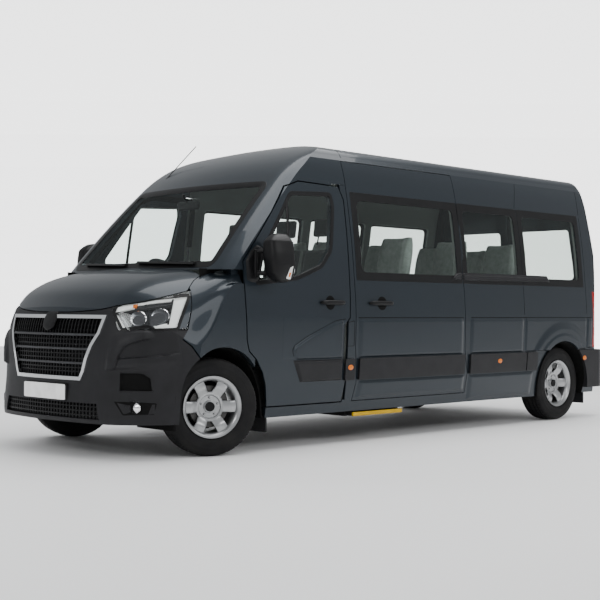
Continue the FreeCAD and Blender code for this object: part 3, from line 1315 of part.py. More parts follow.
def make_seats():
    """Two cab seats, three rows of a double and a single seat, and a last double."""
    save("cab_seats", [seat(CAB_SEAT_X, y, CAB_SEAT_HEIGHTS) for y in CAB_SEATS_Y])
    rows = [seat(x, y, ROW_HEIGHTS) for x in ROW_X for y in ROW_SEATS_Y]
    save("passenger_seats", rows + [seat(LAST_ROW_X, LAST_ROW_Y, ROW_HEIGHTS)])


def make_wipers_and_aerial():
    """Two wiper blades lying on the screen's foot, and the roof aerial."""
    layer = body_solid(-WIPER_LAYER[0]).cut(body_solid(-WIPER_LAYER[1]))
    blades = []
    for y in WIPER_Y:
        outline = [
            (y, WIPER_Z[0]), (y + WIPER_LENGTH, WIPER_Z[1]),
            (y + WIPER_LENGTH, WIPER_Z[1] + WIPER_THICKNESS), (y, WIPER_Z[0] + WIPER_THICKNESS),
        ]
        blades.append(largest(layer.common(front_prism(outline, -400.0, 500.0))))
    save("wipers", blades)
    foot = Vector(behind(AERIAL_FOOT[0]), *AERIAL_FOOT[1:])
    tip = Vector(behind(AERIAL_TIP[0]), *AERIAL_TIP[1:])
    save("aerial", largest(rod(foot, tip, AERIAL_RADIUS).cut(body_solid(-STRIP_GAP))))


os.makedirs("parts", exist_ok=True)
make_body_sides()
make_sliding_door()
make_side_glass()
make_tail_lamps()
make_roof()
make_cab_frame(*make_windscreen())
make_floor()
make_front_doors()
make_bonnet()
make_front_wings()
make_headlamps()
make_front_bumper()
make_grille()
make_rear_bumper()
make_rear_doors()
make_body_trim()
make_door_trim()
make_wheels()
make_front_suspension()
make_rear_axle()
make_underside()
make_side_step()
make_dashboard()
make_seats()
make_wipers_and_aerial()
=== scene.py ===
"""The looks of a high-roof minibus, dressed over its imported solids.

Lengths are metres in the part's own frame: X towards the rear, Y towards the vehicle's right, Z up.
Distances along the vehicle are given behind the front axle, as the part's source gives them.
"""

import math

import bmesh
import bpy
import numpy as np
from mathutils import Matrix, Vector
from mathutils.bvhtree import BVHTree


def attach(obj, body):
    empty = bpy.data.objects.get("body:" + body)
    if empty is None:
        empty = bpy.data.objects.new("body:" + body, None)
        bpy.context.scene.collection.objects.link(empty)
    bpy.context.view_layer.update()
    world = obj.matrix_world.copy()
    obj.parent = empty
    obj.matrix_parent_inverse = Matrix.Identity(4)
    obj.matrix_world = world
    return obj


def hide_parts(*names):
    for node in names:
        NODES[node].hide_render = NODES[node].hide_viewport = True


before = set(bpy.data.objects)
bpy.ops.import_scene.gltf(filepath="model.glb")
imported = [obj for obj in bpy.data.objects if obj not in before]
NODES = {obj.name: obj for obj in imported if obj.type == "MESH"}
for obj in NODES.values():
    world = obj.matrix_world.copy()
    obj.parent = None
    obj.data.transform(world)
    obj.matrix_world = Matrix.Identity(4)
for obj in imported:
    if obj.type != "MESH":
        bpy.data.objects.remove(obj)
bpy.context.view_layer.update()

# Layout, in metres
FRONT_AXLE = -2.125
WHEELBASE = 4.332
REAR_AXLE = FRONT_AXLE + WHEELBASE
HUB_Z = 0.350
FRONT_HUB_Y = 0.875
REAR_HUB_Y = 0.865
KINGPIN_Y = 0.800
STEER = math.radians(20.0)
SIDES = (-1, 1)
WORDS = {-1: "left", 1: "right"}


def behind(distance):
    """X of a place this far behind the front axle."""
    return FRONT_AXLE + distance


# Materials
def new_material(name, colour, roughness, metallic=0.0, coat=0.0, specular=0.5):
    """A Principled material with constant finish values on its own sockets."""
    material = bpy.data.materials.new(name)
    material.use_nodes = True
    shader = material.node_tree.nodes["Principled BSDF"]
    shader.inputs["Base Color"].default_value = (*colour, 1.0)
    shader.inputs["Roughness"].default_value = roughness
    shader.inputs["Metallic"].default_value = metallic
    shader.inputs["Specular IOR Level"].default_value = specular
    shader.inputs["Coat Weight"].default_value = coat
    shader.inputs["Coat Roughness"].default_value = 0.04
    material.diffuse_color = (*colour, 1.0)
    return material


def add_node(material, kind, **settings):
    """A node of one kind with its settings made."""
    node = material.node_tree.nodes.new(kind)
    for key, value in settings.items():
        setattr(node, key, value)
    return node


def object_noise(material, scale, detail=3.0):
    """Noise over Object coordinates; returns its factor socket."""
    coords = add_node(material, "ShaderNodeTexCoord")
    noise = add_node(material, "ShaderNodeTexNoise")
    noise.inputs["Scale"].default_value = scale
    noise.inputs["Detail"].default_value = detail
    material.node_tree.links.new(coords.outputs["Object"], noise.inputs["Vector"])
    return noise.outputs["Fac"]


def object_cells(material, scale):
    """Cell pattern over Object coordinates; returns its distance socket."""
    links = material.node_tree.links
    coords = add_node(material, "ShaderNodeTexCoord")
    cells = add_node(material, "ShaderNodeTexVoronoi")
    cells.inputs["Scale"].default_value = scale
    links.new(coords.outputs["Object"], cells.inputs["Vector"])
    return cells.outputs["Distance"]


def vary_colour(material, factor, dark, light):
    """Base colour running between two colours along a factor."""
    links = material.node_tree.links
    ramp = add_node(material, "ShaderNodeValToRGB")
    ramp.color_ramp.elements[0].color = (*dark, 1.0)
    ramp.color_ramp.elements[0].position = 0.3
    ramp.color_ramp.elements[1].color = (*light, 1.0)
    ramp.color_ramp.elements[1].position = 0.7
    links.new(factor, ramp.inputs["Fac"])
    links.new(ramp.outputs["Color"], material.node_tree.nodes["Principled BSDF"].inputs["Base Color"])


def vary_roughness(material, factor, low, high):
    """Roughness running between two values along a factor."""
    links = material.node_tree.links
    spread = add_node(material, "ShaderNodeMapRange")
    spread.inputs["To Min"].default_value = low
    spread.inputs["To Max"].default_value = high
    links.new(factor, spread.inputs["Value"])
    links.new(spread.outputs["Result"], material.node_tree.nodes["Principled BSDF"].inputs["Roughness"])


def emboss(material, height, strength, distance):
    """A bump from a height socket."""
    links = material.node_tree.links
    bump = add_node(material, "ShaderNodeBump")
    bump.inputs["Strength"].default_value = strength
    bump.inputs["Distance"].default_value = distance
    links.new(height, bump.inputs["Height"])
    links.new(bump.outputs["Normal"], material.node_tree.nodes["Principled BSDF"].inputs["Normal"])


INNER_LIMIT = [
    (0.245, 0.953), (0.480, 0.984), (0.800, 1.004), (1.000, 1.009), (1.280, 0.992), (1.600, 0.962),
    (1.970, 0.908), (2.150, 0.871), (2.238, 0.840), (2.300, 0.770), (2.330, 0.700), (2.368, 0.450),
    (2.386, 0.000),
]
CURVE_HEIGHT = 2.5
CAB_END = 1.250
LINING_END = 4.785


def maths(material, operation, *inputs):
    """Output of a maths node whose inputs are sockets or numbers."""
    node = add_node(material, "ShaderNodeMath", operation=operation)
    for socket, value in zip(node.inputs, inputs):
        if isinstance(value, float):
            socket.default_value = value
        else:
            material.node_tree.links.new(value, socket)
    return node.outputs["Value"]


def inside_factor(material):
    """One where a place lies well under the body's skin, by its height, width and distance back.

    The skin's half width less 22 mm is a curve over the height; a place nearer the middle is inside.
    """
    links = material.node_tree.links
    coords = add_node(material, "ShaderNodeTexCoord")
    parts = add_node(material, "ShaderNodeSeparateXYZ")
    links.new(coords.outputs["Object"], parts.inputs["Vector"])
    limit = add_node(material, "ShaderNodeFloatCurve")
    curve = limit.mapping.curves[0]
    places = [(z / CURVE_HEIGHT, y) for z, y in INNER_LIMIT]
    curve.points[0].location = places[0]
    curve.points[1].location = places[-1]
    for place in places[1:-1]:
        curve.points.new(*place)
    for point in curve.points:
        point.handle_type = "VECTOR"
    limit.mapping.update()
    links.new(maths(material, "DIVIDE", parts.outputs["Z"], CURVE_HEIGHT), limit.inputs["Value"])
    width = maths(material, "ABSOLUTE", parts.outputs["Y"])
    narrow = maths(material, "LESS_THAN", width, limit.outputs["Value"])
    back = maths(material, "GREATER_THAN", parts.outputs["X"], behind(CAB_END))
    ahead = maths(material, "LESS_THAN", parts.outputs["X"], behind(LINING_END))
    return maths(material, "MULTIPLY", maths(material, "MULTIPLY", narrow, back), ahead)


def paint_material():
    """Slate metallic paint with flakes under a clear coat, and a pale lining on its inner side."""
    material = new_material("slate_paint", (0.014, 0.020, 0.027), 0.34, 0.45, 0.35, 0.25)
    links = material.node_tree.links
    shader = material.node_tree.nodes["Principled BSDF"]
    inside = inside_factor(material)
    ramp = add_node(material, "ShaderNodeValToRGB")
    ramp.color_ramp.elements[0].color = (0.012, 0.018, 0.024, 1.0)
    ramp.color_ramp.elements[1].color = (0.019, 0.026, 0.034, 1.0)
    links.new(object_noise(material, 900.0, 2.0), ramp.inputs["Fac"])
    colour = add_node(material, "ShaderNodeMix", data_type="RGBA")
    colour_socket = [socket for socket in colour.inputs if socket.type == "RGBA"]
    colour_socket[1].default_value = (0.20, 0.215, 0.205, 1.0)
    links.new(inside, colour.inputs["Factor"])
    links.new(ramp.outputs["Color"], colour_socket[0])
    result = [socket for socket in colour.outputs if socket.type == "RGBA"][0]
    links.new(result, shader.inputs["Base Color"])
    for socket, painted, lined in (("Metallic", 0.45, 0.0), ("Roughness", 0.34, 0.8),
                                   ("Coat Weight", 0.35, 0.0)):
        spread = add_node(material, "ShaderNodeMapRange")
        spread.inputs["To Min"].default_value = painted
        spread.inputs["To Max"].default_value = lined
        links.new(inside, spread.inputs["Value"])
        links.new(spread.outputs["Result"], shader.inputs[socket])
    emboss(material, object_noise(material, 60.0, 2.0), 0.03, 0.0008)
    return material


def grained_plastic(name, colour, roughness, grain=0.25):
    """Moulded plastic with a fine leather-like grain."""
    material = new_material(name, colour, roughness, 0.0, 0.0, 0.2)
    lighter = tuple(c * 1.25 + 0.001 for c in colour)
    vary_colour(material, object_noise(material, 9.0), colour, lighter)
    emboss(material, object_cells(material, 700.0), grain, 0.0006)
    return material


def rubber_material():
    """Tyre rubber, slightly dusty and uneven."""
    material = new_material("tyre_rubber", (0.008, 0.008, 0.009), 0.72, 0.0, 0.0, 0.2)
    vary_colour(material, object_noise(material, 6.0), (0.006, 0.006, 0.007), (0.013, 0.0125, 0.012))
    vary_roughness(material, object_noise(material, 14.0), 0.6, 0.85)
    emboss(material, object_noise(material, 400.0), 0.2, 0.0005)
    return material


def alloy_material():
    """Silver wheel lacquer over cast aluminium."""
    material = new_material("silver_alloy", (0.36, 0.365, 0.37), 0.30, 0.85, 0.4)
    vary_colour(material, object_noise(material, 700.0, 2.0), (0.32, 0.325, 0.33), (0.42, 0.425, 0.43))
    return material


def chrome_material():
    """Bright plated trim, with the faintest haze."""
    material = new_material("bright_trim", (0.80, 0.81, 0.82), 0.10, 1.0)
    vary_roughness(material, object_noise(material, 30.0), 0.08, 0.16)
    return material


def cloth_material(name, dark, light):
    """Woven seat cloth: crossed fine waves, with a soft sheen."""
    material = new_material(name, dark, 0.88)
    links = material.node_tree.links
    coords = add_node(material, "ShaderNodeTexCoord")
    heights = []
    for direction in ("Y", "Z"):
        wave = add_node(material, "ShaderNodeTexWave", wave_type="BANDS", bands_direction=direction)
        wave.inputs["Scale"].default_value = 160.0
        links.new(coords.outputs["Object"], wave.inputs["Vector"])
        heights.append(wave.outputs["Fac"])
    vary_colour(material, object_noise(material, 25.0), dark, light)
    emboss(material, maths(material, "MULTIPLY", *heights), 0.3, 0.0008)
    material.node_tree.nodes["Principled BSDF"].inputs["Sheen Weight"].default_value = 0.3
    return material


def pane_material(name, tint, shine):
    """Window glass: tinted see-through with a share of clear reflection."""
    material = bpy.data.materials.new(name)
    material.use_nodes = True
    nodes = material.node_tree.nodes
    links = material.node_tree.links
    nodes.clear()
    through = nodes.new("ShaderNodeBsdfTransparent")
    through.inputs["Color"].default_value = (*tint, 1.0)
    skin = nodes.new("ShaderNodeBsdfGlossy")
    skin.inputs["Color"].default_value = (0.9, 0.93, 0.93, 1.0)
    skin.inputs["Roughness"].default_value = 0.02
    mix = nodes.new("ShaderNodeMixShader")
    mix.inputs["Fac"].default_value = shine
    output = nodes.new("ShaderNodeOutputMaterial")
    links.new(through.outputs["BSDF"], mix.inputs[1])
    links.new(skin.outputs["BSDF"], mix.inputs[2])
    links.new(mix.outputs["Shader"], output.inputs["Surface"])
    material.diffuse_color = (*tint, 0.5)
    return material


def lit_lens(name, colour, roughness=0.12, glow=0.0):
    """Coloured lens plastic with a ribbed inside, seen as faint bands."""
    material = new_material(name, colour, roughness, 0.0, 0.3, 0.3)
    links = material.node_tree.links
    coords = add_node(material, "ShaderNodeTexCoord")
    wave = add_node(material, "ShaderNodeTexWave", wave_type="BANDS", bands_direction="Z")
    wave.inputs["Scale"].default_value = 40.0
    links.new(coords.outputs["Object"], wave.inputs["Vector"])
    dark = tuple(c * 0.6 for c in colour)
    vary_colour(material, wave.outputs["Fac"], dark, colour)
    emboss(material, wave.outputs["Fac"], 0.2, 0.001)
    if glow > 0.0:
        shader = material.node_tree.nodes["Principled BSDF"]
        shader.inputs["Emission Color"].default_value = (*colour, 1.0)
        shader.inputs["Emission Strength"].default_value = glow
    return material


PAINT = paint_material()
CHARCOAL = grained_plastic("charcoal_moulding", (0.0125, 0.0125, 0.014), 0.46)
BLACK = grained_plastic("black_moulding", (0.0045, 0.0045, 0.005), 0.40, 0.15)
# Deepest black: the own colour of seams, seals, cups and liners, and painted shade where it lies as thin
# sheets along the creases and in the bumper's pocket and fog lamp recess.
BLACK_AND_PAINTED_SHADE = grained_plastic("deep_black_and_painted_shade", (0.0015, 0.0015, 0.0015), 0.9, 0.1)
CABIN = grained_plastic("cabin_moulding", (0.020, 0.021, 0.022), 0.6)
CHASSIS = grained_plastic("chassis_black", (0.005, 0.005, 0.0055), 0.65, 0.4)
RUBBER = rubber_material()
ALLOY = alloy_material()
CHROME = chrome_material()
SEAT_CLOTH = cloth_material("seat_cloth", (0.30, 0.33, 0.31), (0.40, 0.43, 0.41))
DRIVER_CLOTH = cloth_material("driver_cloth", (0.016, 0.018, 0.018), (0.028, 0.030, 0.030))
CLEAR_PANE = pane_material("clear_pane", (0.90, 0.93, 0.92), 0.03)
TINTED_PANE = pane_material("tinted_pane", (0.83, 0.86, 0.845), 0.03)
LENS = pane_material("clear_lens", (0.94, 0.96, 0.97), 0.04)
RED_LENS = lit_lens("red_lens", (0.36, 0.008, 0.006), 0.15, 0.05)
AMBER = lit_lens("amber_lens", (0.72, 0.17, 0.006), 0.2, 0.1)
WHITE_LENS = lit_lens("white_lens", (0.82, 0.83, 0.80), 0.1, 0.15)
PLATE = grained_plastic("blank_plate", (0.85, 0.85, 0.84), 0.35, 0.02)
DISC_STEEL = new_material("disc_steel", (0.07, 0.068, 0.066), 0.5, 0.8)
LAMP_BEZEL = grained_plastic("lamp_bezel", (0.05, 0.05, 0.054), 0.35, 0.05)
LIGHT_GUIDE = lit_lens("light_guide", (0.90, 0.90, 0.87), 0.08, 0.35)
REFLECTOR = new_material("lamp_reflector", (0.93, 0.93, 0.94), 0.07, 1.0)
GRILLE_GREY = grained_plastic("grille_grey", (0.040, 0.041, 0.044), 0.35, 0.05)
MIRROR_FACE = new_material("mirror_face", (0.80, 0.83, 0.85), 0.03, 1.0)
YELLOW = grained_plastic("yellow_edge", (0.48, 0.29, 0.005), 0.5, 0.4)

NODE_MATERIALS = (
    (PAINT, ["body_side_left", "body_side_right", "sliding_door", "roof_panel", "cab_frame",
             "front_door_left", "front_door_right", "bonnet", "front_wings", "rear_door_left",
             "rear_door_right"]),
    (CHARCOAL, ["front_bumper", "rear_bumper", "body_trim"]),
    (BLACK, ["front_door_trim_left", "front_door_trim_right", "grille", "wipers", "aerial", "fuel_tank"]),
    (CHASSIS, ["floor_pan", "front_suspension", "rear_axle", "engine", "exhaust", "step_housing",
               "side_step", "knuckle_left", "knuckle_right"]),
    (RUBBER, ["spare_wheel", "tyre_front_left", "tyre_front_right", "tyre_rear_left", "tyre_rear_right"]),
    (ALLOY, ["rim_front_left", "rim_front_right", "rim_rear_left", "rim_rear_right"]),
    (CHROME, ["grille_surround"]),
    (CABIN, ["dashboard", "steering_wheel"]),
    (CLEAR_PANE, ["windscreen", "front_door_glass_left", "front_door_glass_right"]),
    (TINTED_PANE, ["side_glass", "rear_door_glass_left", "rear_door_glass_right"]),
    (RED_LENS, ["tail_lamps"]),
    (LENS, ["headlamps", "fog_lamps"]),
    (SEAT_CLOTH, ["passenger_seats"]),
    (DRIVER_CLOTH, ["cab_seats"]),
)
for node_material, node_names in NODE_MATERIALS:
    for node_name in node_names:
        NODES[node_name].data.materials.clear()
        NODES[node_name].data.materials.append(node_material)


# The photograph's camera: place, heading, slight tilt and roll, and lens
CAMERA_PLACE = (FRONT_AXLE - 5.7188, -7.4868, 1.0488)
CAMERA_YAW = math.radians(44.956)
CAMERA_PITCH = math.radians(0.4335)
CAMERA_ROLL = math.radians(0.359)
CAMERA_LENS = 72.84
SENSOR = 36.0
PICTURE = 600.0
FOCAL = CAMERA_LENS / SENSOR * PICTURE


def view_axes():
    """Forward, right and up of the photograph's camera."""
    forward = Vector((math.cos(CAMERA_YAW) * math.cos(CAMERA_PITCH),
                      math.sin(CAMERA_YAW) * math.cos(CAMERA_PITCH), math.sin(CAMERA_PITCH)))
    right = Vector((math.sin(CAMERA_YAW), -math.cos(CAMERA_YAW), 0.0))
    up = right.cross(forward)
    right_rolled = right * math.cos(CAMERA_ROLL) + up * math.sin(CAMERA_ROLL)
    up_rolled = up * math.cos(CAMERA_ROLL) - right * math.sin(CAMERA_ROLL)
    return forward, right_rolled, up_rolled


VIEW = view_axes()


# Mesh building
SHARP_ANGLE = math.radians(38.0)
WELD = 1e-6


def full_turn(count):
    """Angles evenly spaced round a circle."""
    return np.linspace(0.0, 2.0 * np.pi, count, endpoint=False)


def make_piece(name, points, faces, material, body="root", slot=None):
    """A closed mesh piece with its faces turned outwards, riding on a body."""
    mesh = bpy.data.meshes.new(name)
    places = np.asarray(points, float).reshape(-1, 3)
    mesh.from_pydata([tuple(v) for v in places], [], [tuple(f) for f in faces])
    mesh.update()
    mesh.materials.append(material)
    sculpt = bmesh.new()
    sculpt.from_mesh(mesh)
    bmesh.ops.remove_doubles(sculpt, verts=sculpt.verts, dist=WELD)
    bmesh.ops.recalc_face_normals(sculpt, faces=sculpt.faces)
    sculpt.to_mesh(mesh)
    sculpt.free()
    mesh.polygons.foreach_set("use_smooth", [True] * len(mesh.polygons))
    mesh.set_sharp_from_angle(angle=SHARP_ANGLE)
    piece = bpy.data.objects.new(name, mesh)
    bpy.context.scene.collection.objects.link(piece)
    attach(piece, body)
    return piece


def grid_faces(rows, columns, wrap_rows=False, wrap_columns=False):
    """Quads of a grid of points laid row after row; wrapping closes a direction."""
    i = np.arange(rows if wrap_rows else rows - 1)
    j = np.arange(columns if wrap_columns else columns - 1)
    ii, jj = np.meshgrid(i, j, indexing="ij")
    next_i = (ii + 1) % rows
    next_j = (jj + 1) % columns
    quads = np.stack([ii * columns + jj, ii * columns + next_j, next_i * columns + next_j,
                      next_i * columns + jj], axis=-1)
    return quads.reshape(-1, 4).tolist()


def capped(rows):
    """Points and faces of a tube with flat ends, from its rings of points."""
    rows = np.asarray(rows)
    count, columns = rows.shape[:2]
    faces = grid_faces(count, columns, False, True)
    faces.append(list(range(columns - 1, -1, -1)))
    faces.append([(count - 1) * columns + j for j in range(columns)])
    return rows.reshape(-1, 3), faces


def tipped(rows, tip, base):
    """Points and faces of rings closed to a tip after the last ring and a base before the first."""
    rows = np.asarray(rows)
    count, columns = rows.shape[:2]
    points = np.vstack([rows.reshape(-1, 3), [tip], [base]])
    faces = grid_faces(count, columns, False, True)
    last = (count - 1) * columns
    for j in range(columns):
        k = (j + 1) % columns
        faces.append([last + j, last + k, len(points) - 2])
        faces.append([k, j, len(points) - 1])
    return points, faces


def merge_shells(shells):
    """Points and faces of several shells as one list."""
    points = []
    faces = []
    start = 0
    for shell_points, shell_faces in shells:
        flat = np.asarray(shell_points, float).reshape(-1, 3)
        points.append(flat)
        faces.extend([[i + start for i in face] for face in shell_faces])
        start += len(flat)
    return np.vstack(points), faces


def turned(profile, centre, segments):
    """Points of a profile of (offset along the axle, radius) turned about an axle along Y.

    Point = centre + (radius times sine, offset, radius times cosine) of the angle.
    """
    angle = full_turn(segments)[:, None]
    offset = np.asarray(profile, float)[None, :, 0]
    radius = np.asarray(profile, float)[None, :, 1]
    x = radius * np.sin(angle)
    z = radius * np.cos(angle)
    return np.stack([x, np.broadcast_to(offset, x.shape), z], axis=-1) + np.asarray(centre)


def tube(path, radius, segments=16):
    """Rings of points about a path of places.

    Ring = place + radius * (side axis * cosine + up axis * sine), the axes lying across the path.
    """
    path = np.asarray(path, float)
    angle = full_turn(segments)
    rows = []
    for place, along in zip(path, np.gradient(path, axis=0)):
        along = along / np.linalg.norm(along)
        side_axis = np.cross(along, [0.0, 0.0, 1.0])
        side_axis /= np.linalg.norm(side_axis)
        up_axis = np.cross(side_axis, along)
        rows.append(place + radius * (np.outer(np.cos(angle), side_axis) + np.outer(np.sin(angle), up_axis)))
    return np.array(rows)


def steer_points(points, side):
    """Points turned about a front kingpin to the parked steering angle; side 0 leaves them.

    x = x * cosine - y * sine and y = x * sine + y * cosine, from the kingpin.
    """
    if not side:
        return points
    pivot = np.array([FRONT_AXLE, side * KINGPIN_Y, 0.0])
    moved = np.asarray(points, float) - pivot
    cosine, sine = math.cos(-STEER), math.sin(-STEER)
    x = moved[..., 0] * cosine - moved[..., 1] * sine
    y = moved[..., 0] * sine + moved[..., 1] * cosine
    return np.stack([x, y, moved[..., 2]], axis=-1) + pivot


def skin_of(*names):
    """A search tree over the triangles of some solids at rest."""
    vertices = []
    polygons = []
    for name in names:
        start = len(vertices)
        mesh = NODES[name].data
        vertices.extend(v.co.copy() for v in mesh.vertices)
        polygons.extend(tuple(i + start for i in p.vertices) for p in mesh.polygons)
    return BVHTree.FromPolygons(vertices, polygons)


def touch(tree, origin, direction):
    """First point of a skin along a ray, with its outward normal, or None."""
    hit, normal, _, _ = tree.ray_cast(Vector(origin), Vector(direction))
    if hit is None:
        return None
    if normal.dot(Vector(direction)) > 0.0:
        normal = -normal
    return np.array(hit), np.array(normal)


def project(pixels, tree):
    """Points of a skin seen at pixels of the photograph, with outward normals.

    A pixel's ray leaves the camera's place along forward + right * u + up * v, where u and v are
    the pixel's distances from the picture's centre over the focal length in pixels. A pixel whose
    ray misses the skin takes the point of the nearest pixel that meets it.
    """
    places = np.asarray(pixels, float).reshape(-1, 2)
    hits = []
    for px, py in places:
        u = (px - PICTURE / 2.0) / FOCAL
        v = (PICTURE / 2.0 - py) / FOCAL
        aim = (VIEW[0] + VIEW[1] * u + VIEW[2] * v).normalized()
        hits.append(touch(tree, CAMERA_PLACE, aim))
    good = np.array([i for i, hit in enumerate(hits) if hit is not None])
    nearest = [good[np.argmin(np.sum((places[good] - place) ** 2, axis=1))] for place in places]
    return np.array([hits[i][0] for i in nearest]), np.array([hits[i][1] for i in nearest])


NEAR_SIDE = 0.6


def from_side(outline, side, tree):
    """Points of a skin met from one side at (behind axle, height) places, with outward normals.

    Where a ray slips through a seam to the far side, its neighbours' points are joined up.
    """
    hits = [touch(tree, (behind(x), side * 3.0, z), (0.0, -side, 0.0)) for x, z in outline]
    good = [i for i, hit in enumerate(hits) if hit is not None and side * hit[0][1] > NEAR_SIDE]
    points = np.array([[behind(x), 0.0, z] for x, z in outline])
    normals = np.zeros((len(hits), 3))
    order = np.arange(len(hits))
    points[:, 1] = np.interp(order, good, [hits[i][0][1] for i in good])
    for k in range(3):
        normals[:, k] = np.interp(order, good, [hits[i][1][k] for i in good])
    return points, normals


def from_end(outline, direction, tree):
    """Points of a skin met along X at (y, z) places, with outward normals."""
    start = -6.0 * direction
    hits = [touch(tree, (start, y, z), (direction, 0.0, 0.0)) for y, z in outline]
    good = [hit for hit in hits if hit is not None]
    hits = [hit if hit is not None else good[0] for hit in hits]
    return np.array([hit[0] for hit in hits]), np.array([hit[1] for hit in hits])


def flip(points, side=1):
    """Points of the left side moved to the right one, if that side is asked for."""
    return np.asarray(points) * np.array([1.0, -1.0 if side > 0 else 1.0, 1.0])


def resample(points, count, closed=False):
    """Evenly spaced points along a polyline."""
    points = np.asarray(points, float)
    if closed:
        points = np.vstack([points, points[:1]])
    steps = np.linalg.norm(np.diff(points, axis=0), axis=1)
    along = np.concatenate([[0.0], np.cumsum(steps)])
    places = np.linspace(0.0, along[-1], count + 1 if closed else count)
    if closed:
        places = places[:-1]
    return np.stack([np.interp(places, along, points[:, k]) for k in range(points.shape[1])], axis=-1)


def rounded(corners, radius, steps=6):
    """Closed outline of a polygon whose corners are arcs of one radius.

    Arc = (1 - t) squared * start + 2 * t * (1 - t) * corner + t squared * end.
    """
    corners = np.asarray(corners, float)
    outline = []
    for i, here in enumerate(corners):
        before = corners[i - 1] - here
        after = corners[(i + 1) % len(corners)] - here
        reach = min(radius, 0.45 * np.linalg.norm(before), 0.45 * np.linalg.norm(after))
        start = here + before / np.linalg.norm(before) * reach
        end = here + after / np.linalg.norm(after) * reach
        for t in np.linspace(0.0, 1.0, steps):
            outline.append((1 - t) ** 2 * start + 2 * t * (1 - t) * here + t * t * end)
    return np.array(outline)


def shrunk(outline, distance):
    """A closed outline moved towards its inside by a distance.

    Place = place + distance * the tangent turned by a quarter towards the inside.
    """
    outline = np.asarray(outline, float)
    tangent = np.roll(outline, -1, axis=0) - np.roll(outline, 1, axis=0)
    tangent /= np.linalg.norm(tangent, axis=1)[:, None] + 1e-9
    x, y = outline[:, 0], outline[:, 1]
    turn = np.sum(x * np.roll(y, -1) - y * np.roll(x, -1))
    sign = 1.0 if turn > 0.0 else -1.0
    return outline + sign * distance * np.stack([-tangent[:, 1], tangent[:, 0]], axis=-1)


def shrunk_open(points, distance):
    """An open (behind axle, height) line moved sideways, upwards where it runs forwards."""
    tangent = np.gradient(points, axis=0)
    tangent /= np.linalg.norm(tangent, axis=1)[:, None]
    return points + distance * np.stack([tangent[:, 1], -tangent[:, 0]], axis=-1)


def ring_piece(name, loops, material, body="root"):
    """A closed tube whose section runs through a list of closed loops."""
    points = np.array(loops)
    return make_piece(name, points, grid_faces(*points.shape[:2], True, True), material, body)


def band_loops(outline, insets, lifts, sample):
    """Loops inset from an outline, each lifted off the skin that sample finds for flat places."""
    loops = []
    for inset, lift in zip(insets, lifts):
        points, normals = sample(shrunk(outline, inset))
        loops.append(points + normals * lift)
    return loops


def sheet_faces(rows, columns):
    """Faces of a closed sheet: a front grid, a back grid after it, and the walls between."""
    count = rows * columns
    front = grid_faces(rows, columns)
    back = [tuple(reversed([i + count for i in face])) for face in front]
    border = ([(0, j) for j in range(columns)] + [(i, columns - 1) for i in range(1, rows)]
              + [(rows - 1, j) for j in range(columns - 2, -1, -1)]
              + [(i, 0) for i in range(rows - 2, 0, -1)])
    flat = [i * columns + j for i, j in border]
    walls = [(b, a, a + count, b + count) for a, b in zip(flat, flat[1:] + flat[:1])]
    return front + back + walls


def sheet_piece(name, front, back, material, body="root"):
    """A closed sheet from a front grid and a back grid of points."""
    points = np.vstack([front.reshape(-1, 3), back.reshape(-1, 3)])
    return make_piece(name, points, sheet_faces(*front.shape[:2]), material, body)


def raised(points, normals, lift, shape):
    """A grid of skin points moved off the skin by one height or by a grid of heights.

    Point = skin point + normal * height.
    """
    return (points + normals * np.broadcast_to(lift, shape).reshape(-1, 1)).reshape(*shape, 3)


def pixel_patch(top, foot, rows, columns):
    """A grid of flat places between two polylines.

    Place = upper * (1 - share) + lower * share, both lines evenly resampled.
    """
    upper = resample(top, columns)
    lower = resample(foot, columns)
    share = np.linspace(0.0, 1.0, rows)[:, None, None]
    return upper[None] * (1.0 - share) + lower[None] * share


def lay_patch(name, pixels, tree, lift, thickness, material):
    """A sheet over the skin seen at a grid of pixels, and its twin on the other side.

    lift is one height or a grid of heights off the skin; the back lies a thickness below it.
    """
    shape = pixels.shape[:2]
    points, normals = project(pixels, tree)
    lift = np.broadcast_to(lift, shape)
    grids = raised(points, normals, lift, shape), raised(points, normals, lift - thickness, shape)
    for side in SIDES:
        sheet_piece(name + "_" + WORDS[side], *(flip(grid, side) for grid in grids), material)


def edge_fade(rows, columns, reach=2):
    """One inside a grid, falling to zero over a few rows and columns at its border.

    Value = steps to the nearest border over the reach, at most one.
    """
    i = np.minimum(np.arange(rows), np.arange(rows)[::-1])[:, None]
    j = np.minimum(np.arange(columns), np.arange(columns)[::-1])[None, :]
    return np.clip(np.minimum(i, j) / reach, 0.0, 1.0)


def smooth_step(value):
    """Smooth run from zero to one.

    Value = t squared * (3 - 2 * t), t kept between zero and one.
    """
    t = np.clip(value, 0.0, 1.0)
    return t * t * (3.0 - 2.0 * t)


def power_round(angle, power_x, power_y):
    """Cosine and sine of an angle with their sizes raised to powers: a squared-off circle."""
    cosine, sine = np.cos(angle), np.sin(angle)
    return np.sign(cosine) * np.abs(cosine) ** power_x, np.sign(sine) * np.abs(sine) ** power_y


# Wheels
TREAD_SEGMENTS = 336
TREAD_CUT_EVERY = 6
TREAD_CUT_DEPTH = 0.006
TREAD_FOOT = 0.340
RIBS = ((0.066, 0.095), (0.028, 0.054))
GROOVE_DEPTH = 0.008
GROOVES = (0.022, 0.060)
GROOVE_HALF = 0.0045
SIDEWALL = [
    (0.080, 0.300), (0.093, 0.275), (0.082, 0.240), (0.080, 0.214), (0.094, 0.214), (0.094, 0.222),
    (0.099, 0.228), (0.1045, 0.2325), (0.1055, 0.2365), (0.1075, 0.2400), (0.1080, 0.2412),
    (0.1095, 0.2430), (0.1115, 0.2500), (0.1128, 0.2600), (0.1135, 0.2700), (0.1137, 0.2800),
    (0.1130, 0.2900), (0.1135, 0.2915), (0.1125, 0.2935), (0.1110, 0.3020), (0.1085, 0.3120),
    (0.1075, 0.3150), (0.1070, 0.3200), (0.1040, 0.3290), (0.0985, 0.3380), (0.0925, 0.3425),
]
SPOKE_COUNT = 6
